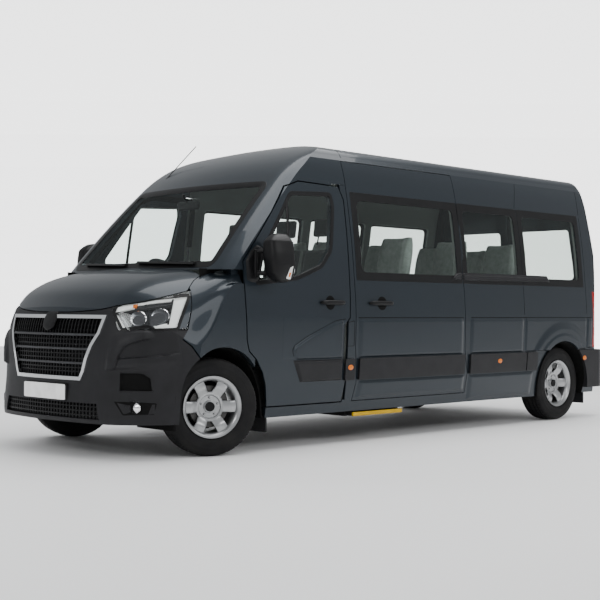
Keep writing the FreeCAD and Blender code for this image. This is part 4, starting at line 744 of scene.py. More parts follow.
SPOKE_HALF = 0.041
SPOKE_RADII = (0.096, 0.196)
DISC_FACE = 0.074
HUB_FACE = 0.050
HUB_RADIUS = 0.104
CAP_RADIUS = 0.0375
CAP_HEIGHT = 0.014
BOLT_CIRCLE = 0.065
BOLT_COUNT = 5
BOLT_RADIUS = 0.0095
BOLT_HEIGHT = 0.012
DOME_ROOT = 0.004
BARREL = [
    (0.0980, 0.2060), (0.0950, 0.2020), (0.0800, 0.1990), (0.0, 0.1970), (-0.0950, 0.2020),
    (-0.1040, 0.2190), (-0.1060, 0.2200), (-0.1070, 0.2150), (-0.1000, 0.1960), (-0.0500, 0.1850),
    (0.0600, 0.1850), (0.0660, 0.1860), (0.0780, 0.1890), (0.0860, 0.1960), (0.0960, 0.2040),
    (0.1010, 0.2130), (0.1045, 0.2190), (0.1070, 0.2195), (0.1060, 0.2215), (0.1010, 0.2190),
]
HUB = [
    (HUB_FACE - 0.018, 0.030), (HUB_FACE - 0.018, HUB_RADIUS), (HUB_FACE - 0.003, HUB_RADIUS + 0.002),
    (HUB_FACE + 0.001, HUB_RADIUS - 0.005), (HUB_FACE - 0.001, 0.086), (HUB_FACE - 0.010, 0.080),
    (HUB_FACE - 0.011, 0.046), (HUB_FACE - 0.004, 0.042), (HUB_FACE - 0.004, 0.030),
]
BRAKE_DISC = [
    (0.006, 0.060), (0.006, 0.148), (0.008, 0.150), (0.026, 0.150), (0.028, 0.148),
    (0.028, 0.088), (0.036, 0.082), (0.036, 0.060),
]


def tread_half():
    """Half profile of the tread, from its shoulder to its middle, with two grooves."""
    places = [0.0890, 0.0800, 0.0720]
    radii = [0.3448, 0.3475, 0.3485]
    for groove in reversed(GROOVES):
        for shift, depth in ((1.0, 0.0), (0.9, 1.0), (-0.9, 1.0), (-1.0, 0.0)):
            places.append(groove + shift * GROOVE_HALF)
            radii.append(0.3495 - depth * GROOVE_DEPTH)
        places.append(groove - 0.019)
        radii.append(0.3500)
    return list(zip(places, radii))


def tyre_points():
    """A closed tyre section turned about the axle, its ribs cut across at every few steps.

    Radius = the profile's radius, less the cut's depth on the ribs at every sixth step.
    """
    half = SIDEWALL + tread_half()
    profile = half + [(-a, r) for a, r in half[::-1]]
    points = turned(profile, (0.0, 0.0, 0.0), TREAD_SEGMENTS)
    radius = np.hypot(points[..., 0], points[..., 2])
    across = np.abs(points[..., 1])
    step = (np.arange(TREAD_SEGMENTS) % TREAD_CUT_EVERY == 0)[:, None]
    rib = np.any([(across > low) & (across < high) for low, high in RIBS], axis=0)
    scale = (radius - np.where(step & rib & (radius > TREAD_FOOT), TREAD_CUT_DEPTH, 0.0)) / radius
    points[..., 0] *= scale
    points[..., 2] *= scale
    return points


def spoke_points(number):
    """One spoke's rings: a rounded section with parallel sides, following the disc's dish.

    Across = half width * cosine to the power 0.35. Outwards = crest - 9 mm + 9 mm * sine to the
    power 0.6 - 3 mm * the cosine term squared. The crest is a smooth step over the radius.
    """
    along = np.linspace(0.0, 1.0, 12)
    radius = SPOKE_RADII[0] + (SPOKE_RADII[1] - SPOKE_RADII[0]) * along
    crest = HUB_FACE + (DISC_FACE + 0.004 - HUB_FACE) * smooth_step((radius - 0.085) / 0.07)
    shape, height = power_round(full_turn(20), 0.35, 0.6)
    sideways = shape[None, :] * (SPOKE_HALF + 0.004 * along[:, None] ** 3)
    outward = crest[:, None] - 0.009 + height[None, :] * 0.009 - 0.003 * (shape[None, :] ** 2)
    turn = 2.0 * np.pi * (number + 0.5) / SPOKE_COUNT
    x = radius[:, None] * math.sin(turn) + sideways * math.cos(turn)
    z = radius[:, None] * math.cos(turn) - sideways * math.sin(turn)
    return np.stack([x, np.broadcast_to(outward, x.shape), z], axis=-1)


def dome(centre, radius, height, rings=6, segments=24):
    """A closed dome standing outwards on a flat base, with its axis along Y.

    Offset = height * sine and radius = full radius * cosine of an angle from the rim to the top.
    """
    angle = 0.5 * np.pi * np.arange(rings) / rings
    profile = [(-DOME_ROOT, radius), *zip(height * np.sin(angle), radius * np.cos(angle))]
    loops = turned(profile, centre, segments).transpose(1, 0, 2)
    return tipped(loops, np.add(centre, (0.0, height, 0.0)), np.add(centre, (0.0, -DOME_ROOT, 0.0)))


def wheel_shells():
    """A six-spoke wheel: barrel with rolled lips, recessed hub, cap, spokes and bolts."""
    shells = [(turned(profile, (0.0, 0.0, 0.0), count), grid_faces(count, len(profile), True, True))
              for profile, count in ((BARREL, 120), (HUB, 72))]
    shells.append(dome((0.0, HUB_FACE - 0.006, 0.0), CAP_RADIUS, CAP_HEIGHT))
    shells += [capped(spoke_points(number)) for number in range(SPOKE_COUNT)]
    for turn in full_turn(BOLT_COUNT):
        place = (BOLT_CIRCLE * math.sin(turn), HUB_FACE - 0.010, BOLT_CIRCLE * math.cos(turn))
        shells.append(dome(place, BOLT_RADIUS, BOLT_HEIGHT, 4, 12))
    return merge_shells(shells)


def build_wheels():
    """Tyre, wheel and brake disc at each corner."""
    tyre = tyre_points()
    tyre_faces = grid_faces(*tyre.shape[:2], True, True)
    wheel, wheel_faces = wheel_shells()
    disc = turned(BRAKE_DISC, (0.0, 0.0, 0.0), 72)
    disc_faces = grid_faces(*disc.shape[:2], True, True)
    for end, axle_x, hub_y in (("front", FRONT_AXLE, FRONT_HUB_Y), ("rear", REAR_AXLE, REAR_HUB_Y)):
        for side in SIDES:
            place = end + "_" + WORDS[side]
            steer = side if end == "front" else 0
            centre = np.array([axle_x, side * hub_y, HUB_Z])
            outward = np.array([1.0, side, 1.0])
            for name, points, faces, material, node in (
                    ("tyre_%s_rubber", tyre, tyre_faces, RUBBER, "tyre_" + place),
                    ("rim_%s_alloy", wheel * outward, wheel_faces, ALLOY, "rim_" + place),
                    ("brake_%s", disc * outward, disc_faces, DISC_STEEL, None)):
                piece = make_piece(name % place, steer_points(points + centre, steer), faces, material,
                                   "wheel_" + place)
                if node:
                    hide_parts(node)


build_wheels()


# Front lamps, from outlines seen in the photograph
LAMP_SKIN = skin_of("headlamps")
BUMPER_SKIN = skin_of("front_bumper", "fog_lamps")
RIM_SKIN = skin_of("headlamps", "front_bumper", "front_wings")
LAMP_RIM = [
    (112.0, 312.2), (117.0, 301.4), (150.0, 297.6), (188.4, 293.4), (191.2, 296.0), (178.8, 330.4),
    (154.0, 331.5), (148.6, 327.8), (121.0, 331.0),
]
GUIDE = ((12, 26), -0.016, 0.004, 0.012, LIGHT_GUIDE)
BAR = ((10, 24), -0.012, 0.003, 0.020, BLACK)
LAMP_PARTS = [
    ("lamp_floor", [(112.4, 311.5), (117.2, 302.0), (150.0, 298.3), (188.0, 293.9)],
     [(112.8, 312.6), (121.9, 329.0), (148.6, 325.4), (154.2, 329.3), (177.6, 328.0), (190.3, 297.0)],
     ((14, 60), -0.045, 0.0, 0.010, LAMP_BEZEL)),
    ("lamp_top_strip", [(117.6, 304.0), (150.0, 299.6), (176.0, 296.4)],
     [(117.0, 305.6), (150.0, 302.2), (175.0, 299.6)], GUIDE),
    ("lamp_side_strip", [(174.8, 297.2), (188.0, 295.0)], [(167.4, 328.0), (177.2, 326.6)], GUIDE),
    ("lamp_foot_strip", [(153.6, 325.8), (164.8, 323.0), (170.0, 322.5)],
     [(155.6, 328.6), (166.0, 328.0), (169.0, 327.6)], GUIDE),
    ("lamp_inner_strip", [(113.2, 314.5), (115.6, 314.0)], [(121.6, 328.4), (124.4, 327.6)], GUIDE),
    ("lamp_indicator", [(114.4, 309.0), (117.0, 305.0), (136.0, 303.2)],
     [(113.8, 311.0), (117.0, 310.2), (134.0, 307.4)], GUIDE),
    ("lamp_amber_dot", [(133.0, 303.9), (137.6, 303.4)], [(132.4, 307.2), (136.6, 306.6)],
     ((8, 8), -0.011, 0.004, 0.012, AMBER)),
    ("lamp_cross_bar", [(113.6, 312.2), (136.0, 308.6), (172.6, 303.2)],
     [(114.6, 314.6), (136.0, 310.8), (172.4, 307.0)], BAR),
    ("lamp_split_bar", [(148.0, 309.0), (149.2, 308.8)], [(148.6, 324.4), (150.0, 324.4)], BAR),
    ("lamp_side_bar", [(172.4, 298.6), (174.4, 298.2)], [(167.4, 324.4), (169.4, 324.0)], BAR),
    ("lamp_corner", [(190.6, 297.4), (185.0, 311.0), (179.2, 329.2)],
     [(191.0, 297.6), (191.8, 309.0), (187.6, 330.0)], ((14, 24), 0.0012, 0.0, 0.006, PAINT)),
]
LAMP_WEDGE = [(115.6, 314.4), (122.4, 314.0)], [(124.8, 327.4), (130.6, 326.4)]
BOWLS = (("lamp_bowl_inner", (137.6, 318.2), 0.060), ("lamp_bowl_outer", (160.6, 315.4), 0.062))
BOWL_DEPTH = 0.050
BOWL_TURN = 0.55


def bowl_piece(name, pixel, radius):
    """A reflector bowl inside a lamp, facing forwards: paraboloid of revolution about X.

    Depth = full depth * (1 - share squared), at a radius of the rim's radius * share.
    """
    point, normal = project([pixel], LAMP_SKIN)
    centre = point[0] - normal[0] * 0.020
    angle = full_turn(40)
    rows = []
    for share in np.linspace(0.12, 1.0, 9):
        back = BOWL_DEPTH * (1.0 - share * share)
        rows.append(np.stack([np.full(40, back), radius * share * np.cos(angle),
                              radius * 0.85 * share * np.sin(angle)], axis=-1))
    rows.append(rows[-1] * np.array([1.0, 1.05, 1.05]) + np.array([0.006, 0.0, 0.0]))
    rows += [row + np.array([0.004, 0.0, 0.0]) for row in rows[-2:0:-1]]
    points = np.array(rows)
    heading = (math.atan2(normal[0][1], normal[0][0]) + math.pi) * BOWL_TURN
    x = points[..., 0] * math.cos(heading) - points[..., 1] * math.sin(heading)
    y = points[..., 0] * math.sin(heading) + points[..., 1] * math.cos(heading)
    placed = np.stack([x, y, points[..., 2]], axis=-1) + centre
    for side in SIDES:
        ring_piece(name + "_" + WORDS[side], flip(placed, side), REFLECTOR)


def build_headlamps():
    """What shows inside the clear lamps: bezel, light strips, indicator, reflectors and dark rim."""
    for name, top, foot, (shape, base, crown, thickness, material) in LAMP_PARTS:
        lay_patch(name, pixel_patch(top, foot, *shape), LAMP_SKIN, base + crown * edge_fade(*shape),
                  thickness, material)
    ribs = 0.004 * np.sin(np.linspace(0.0, 5.0 * np.pi, 14))[None, :]
    lay_patch("lamp_wedge", pixel_patch(*LAMP_WEDGE, 12, 14), LAMP_SKIN, -0.030 + ribs, 0.01, ALLOY)
    for name, pixel, radius in BOWLS:
        bowl_piece(name, pixel, radius)
    edge = resample(rounded(LAMP_RIM, 1.2, 5), 120, True)
    loops = band_loops(edge, (0.0, 0.0, 2.8, 2.8), (-0.006, 0.0015, 0.0015, -0.006),
                       lambda flat: project(flat, RIM_SKIN))
    for side in SIDES:
        ring_piece("lamp_rim_" + WORDS[side], [flip(loop, side) for loop in loops], BLACK)


# Bumper forms: a brow over a hollow, a shelf below it, the pocket and the fog lamp housing, the last two dark
# sheets with painted shade
BROW = [(155.4, 338.1), (142.9, 340.4), (130.4, 343.9), (124.1, 347.5), (119.6, 354.6), (117.0, 361.8),
        (114.7, 370.7), (109.8, 390.4)]
SHELF = [(116.0, 360.0), (122.3, 358.7), (156.0, 356.3), (171.4, 354.6), (184.0, 352.6)]
CORNER_TOP = [(105.0, 333.0), (122.0, 331.4), (147.0, 329.0), (155.0, 332.2), (178.0, 330.6)]
CORNER_FOOT = [(104.0, 371.0), (130.0, 371.0), (150.0, 371.6), (160.0, 374.0), (186.0, 372.0)]
CORNER_GRID = (72, 104)
CORNER_FADE = 6
CORNER_DIP = 0.0010
CORNER_LIFT = 0.0015
BROW_RAISE = 0.024
BROW_SOFT = 1.6
BROW_FALL = (16.0, 13.0)
BROW_END = (156.0, 12.0)
SHELF_RAISE = 0.020
SHELF_SOFT = 1.5
SHELF_FALL = (14.5, 9.0)
SHELF_INNER = (1.0, 3.0)
SHELF_END = (184.0, 16.0)
# The pocket's lining and the fog lamp housing are black trim, darkened further with painted shade of their
# recesses.
FOG_PARTS = [
    ("pocket_lining_shade", [(119.8, 373.6), (138.0, 373.6), (144.0, 374.6), (150.4, 379.0)],
     [(119.8, 390.4), (136.0, 390.8), (144.0, 391.0), (151.8, 391.2)], (24, 44), 0.0008, 2, 0.002, BLACK_AND_PAINTED_SHADE),
    ("fog_housing_shade", [(113.8, 401.6), (135.0, 402.2), (157.0, 403.4)],
     [(122.6, 415.6), (138.0, 415.0), (154.0, 414.8)], (20, 40), 0.0012, 2, 0.004, BLACK_AND_PAINTED_SHADE),
    ("fog_facet", [(116.2, 402.6), (122.0, 403.6), (130.6, 405.4)],
     [(123.4, 414.6), (125.0, 414.4), (131.0, 412.6)], (16, 16), np.linspace(0.004, 0.012, 16)[None, :],
     2, 0.006, CHARCOAL),
    ("fog_lip", [(152.0, 404.4), (155.4, 404.2)], [(147.6, 414.8), (154.6, 414.2)], (16, 10), 0.007, 3,
     0.006, CHARCOAL),
]
FOG_PLACE = (135.6, 408.2)
FOG_RADIUS = 0.038
FOG_BULGE = 0.020
FOG_BACK = 0.012


def distance_to(places, line):
    """Distance of flat places from a polyline, signed positive on its left side going along it."""
    places = np.asarray(places, float)
    best = np.full(places.shape[:-1], 1e9)
    signed = np.zeros(places.shape[:-1])
    line = np.asarray(line, float)
    for start, end in zip(line[:-1], line[1:]):
        run = end - start
        share = np.clip(((places - start) @ run) / (run @ run), 0.0, 1.0)
        gap = places - (start + share[..., None] * run)
        length = np.linalg.norm(gap, axis=-1)
        side = np.sign(run[0] * gap[..., 1] - run[1] * gap[..., 0])
        nearer = length < best
        best = np.where(nearer, length, best)
        signed = np.where(nearer, length * side, signed)
    return signed


def fall(value, edge, run):
    """Smooth fall from one to zero: a smooth step of (edge - value) / run."""
    return smooth_step((edge - value) / run)


def build_bumper_forms():
    """Overlay skins on the bumper's corners, raised above the brow and below the shelf.

    Height = brow raise * smooth steps off the brow's line + shelf raise * those off the shelf's.
    """
    grid = pixel_patch(CORNER_TOP, CORNER_FOOT, *CORNER_GRID)
    across = grid[..., 0]
    brow = distance_to(grid, BROW)
    shelf = distance_to(grid, SHELF)
    above = smooth_step(brow / BROW_SOFT + 0.5) * fall(brow, *BROW_FALL) * fall(across, *BROW_END)
    below = (smooth_step(shelf / SHELF_SOFT + 0.5) * fall(shelf, *SHELF_FALL)
             * fall(brow, *SHELF_INNER) * fall(across, *SHELF_END))
    fade = edge_fade(*CORNER_GRID, CORNER_FADE)
    height = (BROW_RAISE * above + SHELF_RAISE * below) * smooth_step(fade)
    height += CORNER_LIFT * np.minimum(fade * 4.0, 1.0) - CORNER_DIP
    lay_patch("bumper_corner", grid, BUMPER_SKIN, height, 0.003, CHARCOAL)


def build_fog_lamps():
    """Pocket linings and fog lamp housings as dark sheets that also hold painted shade of their recesses,
    with a facet and a domed lamp.

    The dome's depth = bulge * cosine of a quarter turn * share, at a radius of its own * share.
    """
    for name, top, foot, shape, crown, reach, thickness, material in FOG_PARTS:
        lay_patch(name, pixel_patch(top, foot, *shape), BUMPER_SKIN, crown * edge_fade(*shape, reach),
                  thickness, material)
    point, _ = project([FOG_PLACE], BUMPER_SKIN)
    angle = full_turn(36)
    rings = []
    for share in np.linspace(0.0, 1.0, 9)[1:]:
        radius = FOG_RADIUS * share
        depth = np.full(36, -FOG_BULGE * math.cos(0.5 * math.pi * share))
        rings.append(np.stack([depth, radius * np.cos(angle), radius * np.sin(angle)], axis=-1))
    rings.append(rings[-1] + np.array([FOG_BACK, 0.0, 0.0]))
    points, faces = tipped(rings, (FOG_BACK, 0.0, 0.0), (-FOG_BULGE - 0.0003, 0.0, 0.0))
    for side in SIDES:
        make_piece("fog_dome_" + WORDS[side], flip(points + point[0], side), faces, REFLECTOR, slot="lamp")


# Grille lattice, shield and plates
NOSE_LINE = [(-0.815, 0.250), (-0.822, 0.420), (-0.806, 0.620), (-0.796, 0.850), (-0.745, 1.020)]
GRILLE_EDGE = [(0.385, 0.566), (0.408, 0.610), (0.437, 0.700), (0.482, 0.790), (0.534, 0.875),
               (0.559, 0.975)]
GRILLE_TOP = 0.975
GRILLE_BARS = ((0.660, 0.417, "low"), (0.760, 0.466, "middle"), (0.860, 0.525, "high"))
BAR_SECTION = ((-0.009, 0.004), (-0.006, -0.0005), (0.006, -0.0005), (0.009, 0.004), (0.009, 0.012),
               (-0.009, 0.012))
OPENING_HALF = 0.552
RIB_PITCH = 0.035
RIB_HALF = 0.0045
RIB_FRONT = 0.0145
RIB_BACK = 0.032
SHIELD = [(-0.062, 0.905), (-0.078, 0.960), (-0.062, 1.022), (0.062, 1.022), (0.078, 0.960),
          (0.062, 0.905), (0.0, 0.880)]


def nose_x(y, z):
    """X of the nose's upright front at a place across and up, as the part's source draws it.

    X = a quartic through the nose's side line + 0.170 * y squared + 0.290 * corner cubed, where the
    corner share grows from 0.5 m off the middle.
    """
    profile = np.array(NOSE_LINE)
    base = np.polyval(np.polyfit(profile[:, 1], profile[:, 0], 4), z)
    a = np.abs(y)
    corner = np.maximum(0.0, a - 0.5) / 0.48
    return behind(base + 0.170 * a * a + 0.290 * corner ** 3)


def rib_shell(y, low, high):
    """Points and faces of one upright rib of the grille, a box bent to the nose."""
    corners = ((-RIB_HALF, RIB_FRONT), (RIB_HALF, RIB_FRONT), (RIB_HALF, RIB_BACK), (-RIB_HALF, RIB_BACK))
    return capped([[(nose_x(y + dy, z) + depth, y + dy, z) for dy, depth in corners]
                   for z in np.linspace(low, high, 12)])


def rectangle(half, low, high, middle=0.0):
    """Corners of an upright rectangle about a middle, going up its first side."""
    return [(middle - half, low), (middle - half, high), (middle + half, high), (middle + half, low)]


def build_grille():
    """Upright ribs and level bars that make the grilles' rows of small openings."""
    widths, levels = np.array(GRILLE_EDGE).T
    upper = []
    lower = []
    for y in np.arange(-16, 17) * RIB_PITCH:
        if abs(y) < OPENING_HALF:
            upper.append(rib_shell(y, np.interp(abs(y), widths, levels), GRILLE_TOP))
        lower.append(rib_shell(y, 0.277, 0.383 if abs(y) < OPENING_HALF else 0.290))
    make_piece("grille_ribs", *merge_shells(upper), BLACK)
    make_piece("lower_grille_ribs", *merge_shells(lower), BLACK)
    for level, half, name in GRILLE_BARS:
        rings = [[(nose_x(y, level + dz) + lift, y, level + dz) for dz, lift in BAR_SECTION]
                 for y in np.linspace(-half, half, 60)]
        make_piece("grille_bar_" + name, *capped(rings), GRILLE_GREY)


def pad_piece(name, outline, depth, thickness, material, body="root", slot=None, crown=0.0):
    """A closed pad with rounded edges over a (y, z) outline; its base is one X or a function.

    Each ring is the outline drawn in by a share of the thickness and raised by another share.
    """
    depth_at = depth if callable(depth) else lambda y, z: depth + 0.0 * y
    edge = resample(outline, 96, True)
    middle = edge.mean(axis=0)
    top = shrunk(edge, 0.44 * thickness)
    flats = [(shrunk(edge, inset * thickness * 2.0), thickness * lift)
             for inset, lift in ((0.0, 0.0), (0.0, 0.6), (0.10, 0.9), (0.22, 1.0))]
    flats += [(middle + (top - middle) * share, thickness + crown * (1.0 - share))
              for share in (0.75, 0.5, 0.25)]
    loops = [np.column_stack([depth_at(flat[:, 0], flat[:, 1]) - rise, flat]) for flat, rise in flats]
    base = float(depth_at(*middle))
    points, faces = tipped(loops, (base - thickness - crown, *middle), (base, *middle))
    return make_piece(name, points, faces, material, body, slot)


def build_plates_and_shield():
    """A bare shield above the grille and a blank number plate in its frame."""
    pad_piece("badge_seat", rounded(SHIELD, 0.02), lambda y, z: nose_x(y, z) + 0.002, 0.016, BLACK,
              crown=0.003)
    plate_x = float(nose_x(0.0, 0.45)) - 0.002
    pad_piece("front_plate", rounded(rectangle(0.260, 0.398, 0.508), 0.010), plate_x, 0.006, PLATE)
    pad_piece("front_plate_frame", rounded(rectangle(0.268, 0.390, 0.516), 0.012), plate_x + 0.020, 0.020,
              BLACK)


build_headlamps()
build_bumper_forms()
build_fog_lamps()
build_grille()
build_plates_and_shield()


# Side panels: a crease with a swell below it and painted shade along it, the door's scoop and the rear arch
# flare
CREASE_Z = 0.982
SWELL = 0.008
SWELL_RUN = 0.030
SCOOP = [(1.340, 0.975), (1.203, 0.967), (1.130, 0.955), (0.846, 0.846), (0.700, 0.773), (0.681, 0.739),
         (0.700, 0.690), (0.735, 0.640)]
SCOOP_RAISE = 0.012
FLARE_RADIUS = 0.600
FLARE_RAISE = 0.013
LIP_RADIUS = 0.487
LIP_RAISE = 0.006
STRIP_TOP = 0.666
STRIP_FOOT = 0.488
PANEL_TOP = 1.004
SKIN_DIP = 0.0008
SHEET_DEPTH = 0.004


def swell_height(flat):
    """Height of the swell below the crease at (behind axle, height) places.

    Height = swell * smooth step of the distance below the crease over its run.
    """
    return SWELL * smooth_step((CREASE_Z - flat[..., 1]) / SWELL_RUN)


def door_height(flat):
    """Height of the door's raised lower part, bounded by the scoop's line.

    Height = raise * smooth step of the signed distance off the line over 22 mm.
    """
    return SCOOP_RAISE * smooth_step(distance_to(flat, SCOOP) / 0.022)


def rear_height(flat):
    """Swell and arch flare of the body side at the rear.

    Height = swell + flare and lip, each a smooth step of the radius about the wheel's centre.
    """
    radius = np.hypot(flat[..., 0] - WHEELBASE, flat[..., 1] - HUB_Z)
    flare = FLARE_RAISE * smooth_step((FLARE_RADIUS - radius) / 0.080)
    lip = LIP_RAISE * smooth_step((LIP_RADIUS - radius) / 0.030)
    return swell_height(flat) + flare + lip


def lay_panel(name, side, tree, top, foot, shape, height, material, body="root", border=3):
    """A closed sheet over a panel between two (behind axle, height) lines, raised by a height.

    The height is one number or a function of the places. The sheet's border dips under the panel's
    own skin, so the panel's seams stay open.
    """
    flat = pixel_patch(top, foot, *shape)
    points, normals = from_side(flat.reshape(-1, 2), side, tree)
    fade = edge_fade(*shape, border)
    rise = height(flat) if callable(height) else height
    lift = (rise + SKIN_DIP) * smooth_step(fade) - SKIN_DIP * (1.0 - fade)
    return sheet_piece(name, raised(points, normals, lift, shape),
                       raised(points, normals, -SHEET_DEPTH, shape), material, body)


def arch_line(radius, level, count=40):
    """Points along the rear arch from one side of the wheel to the other, above a level.

    Place = wheel's centre + radius * (cosine, sine) of the angle.
    """
    start = math.asin((level - HUB_Z) / radius)
    angle = np.linspace(math.pi - start, start, count)
    return [(WHEELBASE + radius * math.cos(a), HUB_Z + radius * math.sin(a)) for a in angle]


def level_run(x0, x1, z):
    """A level line along the vehicle's side."""
    return [(x0, z), (x1, z)]


def build_side_panels():
    """Raised lower panels of the doors and body sides, with painted shade as a dark line along the crease
    above them and along the door's scoop.
    """
    for side in SIDES:
        word = "_" + WORDS[side]
        body = "front_door" + word
        door = skin_of(body)
        wall = skin_of("body_side" + word)
        start, count = (2.860, 60) if side < 0 else (1.330, 150)
        arch = [(3.700, STRIP_TOP + 0.002), *arch_line(0.4015, STRIP_TOP + 0.002), (4.585, 0.674),
                (4.742, 0.678)]
        panels = [
            ("door_panel" + word, door, level_run(0.560, 1.232, PANEL_TOP),
             level_run(0.560, 1.232, STRIP_TOP), (56, 100), door_height, body, 3),
            ("side_panel" + word, wall, level_run(start, 3.684, PANEL_TOP),
             level_run(start, 3.684, STRIP_TOP), (48, count), swell_height, "root", 3),
            ("arch_panel" + word, wall, level_run(3.700, 4.742, PANEL_TOP), arch, (64, 110), rear_height,
             "root", 2),
            ("tail_panel" + word, wall, level_run(4.756, 4.846, PANEL_TOP), level_run(4.756, 4.850, 0.684),
             (48, 14), swell_height, "root", 3),
            ("sill_panel" + word, wall, level_run(start, 3.870, STRIP_FOOT), level_run(start, 3.850, 0.262),
             (24, count), SWELL, "root", 3),
        ]
        creases = [("crease_shadow_rear" + word, wall, start + 0.002, 4.846)]
        if side < 0:
            slider = skin_of("sliding_door")
            panels += [
                ("slider_panel", slider, level_run(1.402, 2.772, PANEL_TOP),
                 level_run(1.406, 2.780, STRIP_TOP), (48, 90), swell_height, "root", 3),
                ("slider_foot_panel", slider, level_run(1.430, 2.820, STRIP_FOOT),
                 level_run(1.400, 2.810, 0.345), (18, 90), SWELL, "root", 3),
            ]
            creases.append(("crease_shadow_slider" + word, slider, 1.402, 2.772))
        for name, tree, top, foot, shape, height, rider, border in panels:
            lay_panel(name, side, tree, top, foot, shape, height, PAINT, rider, border)
        # The crease's dark lines are thin sheets of painted shade, standing for the shadow in the step of the
        # skin.
        for name, tree, x0, x1 in creases:
            lay_panel(name, side, tree, level_run(x0, x1, CREASE_Z + 0.006),
                      level_run(x0, x1, CREASE_Z - 0.001), (4, 80), 0.0022, BLACK_AND_PAINTED_SHADE, border=1)
        # Painted shade along the door's scoop line, as a thin dark sheet.
        points = resample(SCOOP[:-1], 70)
        upper = shrunk_open(points, 0.006)
        lay_panel("door_crease" + word, side, door, upper[7:], points[7:], (4, 63), 0.0016, BLACK_AND_PAINTED_SHADE,
                  body, 1)


# Rubber round the glass, door divider and screen border
PANES = [(1.398, 2.771), (2.777, 3.676), (3.680, 4.712)]
PANE_LOW = 1.280
PANE_HIGH = 1.988
BAND_WIDTH = 0.066
DOOR_GLASS = [(0.300, 1.225), (0.385, 1.480), (0.722, 1.940), (1.176, 1.962), (1.198, 1.867),
              (1.130, 1.500), (1.010, 1.368), (0.739, 1.272)]
SCREEN = [(-0.868, 1.352), (-0.792, 2.022), (0.792, 2.022), (0.868, 1.352)]
REAR_GLASS = [(0.070, 1.330), (0.815, 1.330), (0.760, 1.900), (0.070, 1.900)]
RUBBER_INSETS = (-0.006, -0.004, 0.026, 0.030)
SCREEN_INSETS = (-0.006, -0.004, 0.040, 0.044)
RUBBER_LIFTS = (-0.002, 0.0022, 0.0022, -0.002)


def build_window_rubber():
    """Black borders over the edges of every pane."""
    glass = skin_of("side_glass", "body_side_left", "body_side_right", "sliding_door")
    for side in SIDES:
        word = WORDS[side]
        for number, (x0, x1) in enumerate(PANES):
            loops = []
            for inset, radius, lift in zip((0.0, 0.002, BAND_WIDTH, BAND_WIDTH + 0.003),
                                           (0.012, 0.012, 0.060, 0.060), RUBBER_LIFTS):
                corners = rectangle(0.5 * (x1 - x0) - inset, PANE_LOW + inset, PANE_HIGH - inset,
                                    0.5 * (x0 + x1))
                outline = resample(rounded(corners, radius, 8), 260, True)
                points, normals = from_side(outline, side, glass)
                loops.append(points + normals * lift)
            ring_piece("pane_band_%d_%s" % (number, word), loops, BLACK)
        door = skin_of("front_door_glass_" + word, "front_door_" + word)
        outline = resample(rounded(DOOR_GLASS, 0.035, 8), 220, True)
        loops = band_loops(outline, RUBBER_INSETS, RUBBER_LIFTS, lambda flat: from_side(flat, side, door))
        ring_piece("door_rubber_" + word, loops, BLACK, "front_door_" + word)
        lay_panel("door_divider_" + word, side, door, [(0.672, 1.885), (0.700, 1.915)],
                  [(0.630, 1.248), (0.658, 1.254)], (40, 4), 0.003, BLACK, "front_door_" + word, 1)
        back = skin_of("rear_door_glass_" + word, "rear_door_" + word)
        outline = resample(rounded([(side * y, z) for y, z in REAR_GLASS], 0.055, 8), 160, True)
        loops = band_loops(outline, RUBBER_INSETS, RUBBER_LIFTS, lambda flat: from_end(flat, -1.0, back))
        ring_piece("rear_rubber_" + word, loops, BLACK, "rear_door_" + word)
    screen = skin_of("windscreen", "cab_frame")
    outline = resample(rounded(SCREEN, 0.080, 10), 260, True)
    ring_piece("screen_border", band_loops(outline, SCREEN_INSETS, RUBBER_LIFTS,
                                           lambda flat: from_end(flat, 1.0, screen)), BLACK)


# Handles, mirrors and the door's strip
HANDLE_Z = 1.100
HANDLE_STAND = 0.030
MIRROR_LOW = 1.238
MIRROR_HIGH = 1.600
MIRROR_SEAM = 1.435
MIRROR_LEVELS = 41
MIRROR_SEGMENTS = 48
SEAM_CUT = 0.003
MIRROR_REAR = 0.498
MIRROR_OUTER = ([1.238, 1.29, 1.37, 1.46, 1.54, 1.600], [-1.215, -1.238, -1.249, -1.243, -1.226, -1.190])
MIRROR_INNER = ([1.238, 1.30, 1.50, 1.600], [-1.105, -1.080, -1.076, -1.095])
MIRROR_FRONT = ([1.238, 1.30, 1.42, 1.54, 1.600], [0.345, 0.305, 0.282, 0.285, 0.330])
MIRROR_GLASS = [(1.100, 1.290), (1.095, 1.545), (1.205, 1.550), (1.222, 1.330), (1.205, 1.290)]
MIRROR_PLATE = ([(0.214, 1.400), (0.262, 1.470), (0.330, 1.520), (0.392, 1.500)],
                [(0.212, 1.262), (0.262, 1.240), (0.330, 1.236), (0.388, 1.470)])
MIRROR_SPOTS = (
    ("mirror_indicator", [(290.4, 268.0), (293.6, 265.8)], [(286.0, 278.6), (290.6, 279.6)], WHITE_LENS,
     0.0018),
    ("mirror_amber", [(289.0, 272.2), (291.6, 271.6)], [(288.0, 277.4), (290.4, 277.6)], AMBER, 0.0032),
)
STRIP_SHAPE = (24, 60)


def handle_points(tree, side, x0, x1):
    """A bar along the door that leaves its skin in the middle: closed rings along the vehicle.

    Stand = full stand * bulge, and bulge = square root of (1 - |2 t - 1| to the power 6). The rings
    are ellipses that grow with the bulge.
    """
    angle = full_turn(18)
    rows = []
    for t in np.linspace(0.0, 1.0, 30):
        place = (behind(x0 + (x1 - x0) * t), side * 3.0, HANDLE_Z)
        point, normal = touch(tree, place, (0.0, -side, 0.0))
        bulge = (1.0 - abs(2.0 * t - 1.0) ** 6) ** 0.5
        half = 0.005 + 0.013 * bulge
        depth = 0.004 + 0.008 * bulge
        rows.append(point + normal * HANDLE_STAND * bulge + np.outer(np.cos(angle) * half, [0.0, 0.0, 1.0])
                    + np.outer(np.sin(angle) * depth, normal))
    return rows


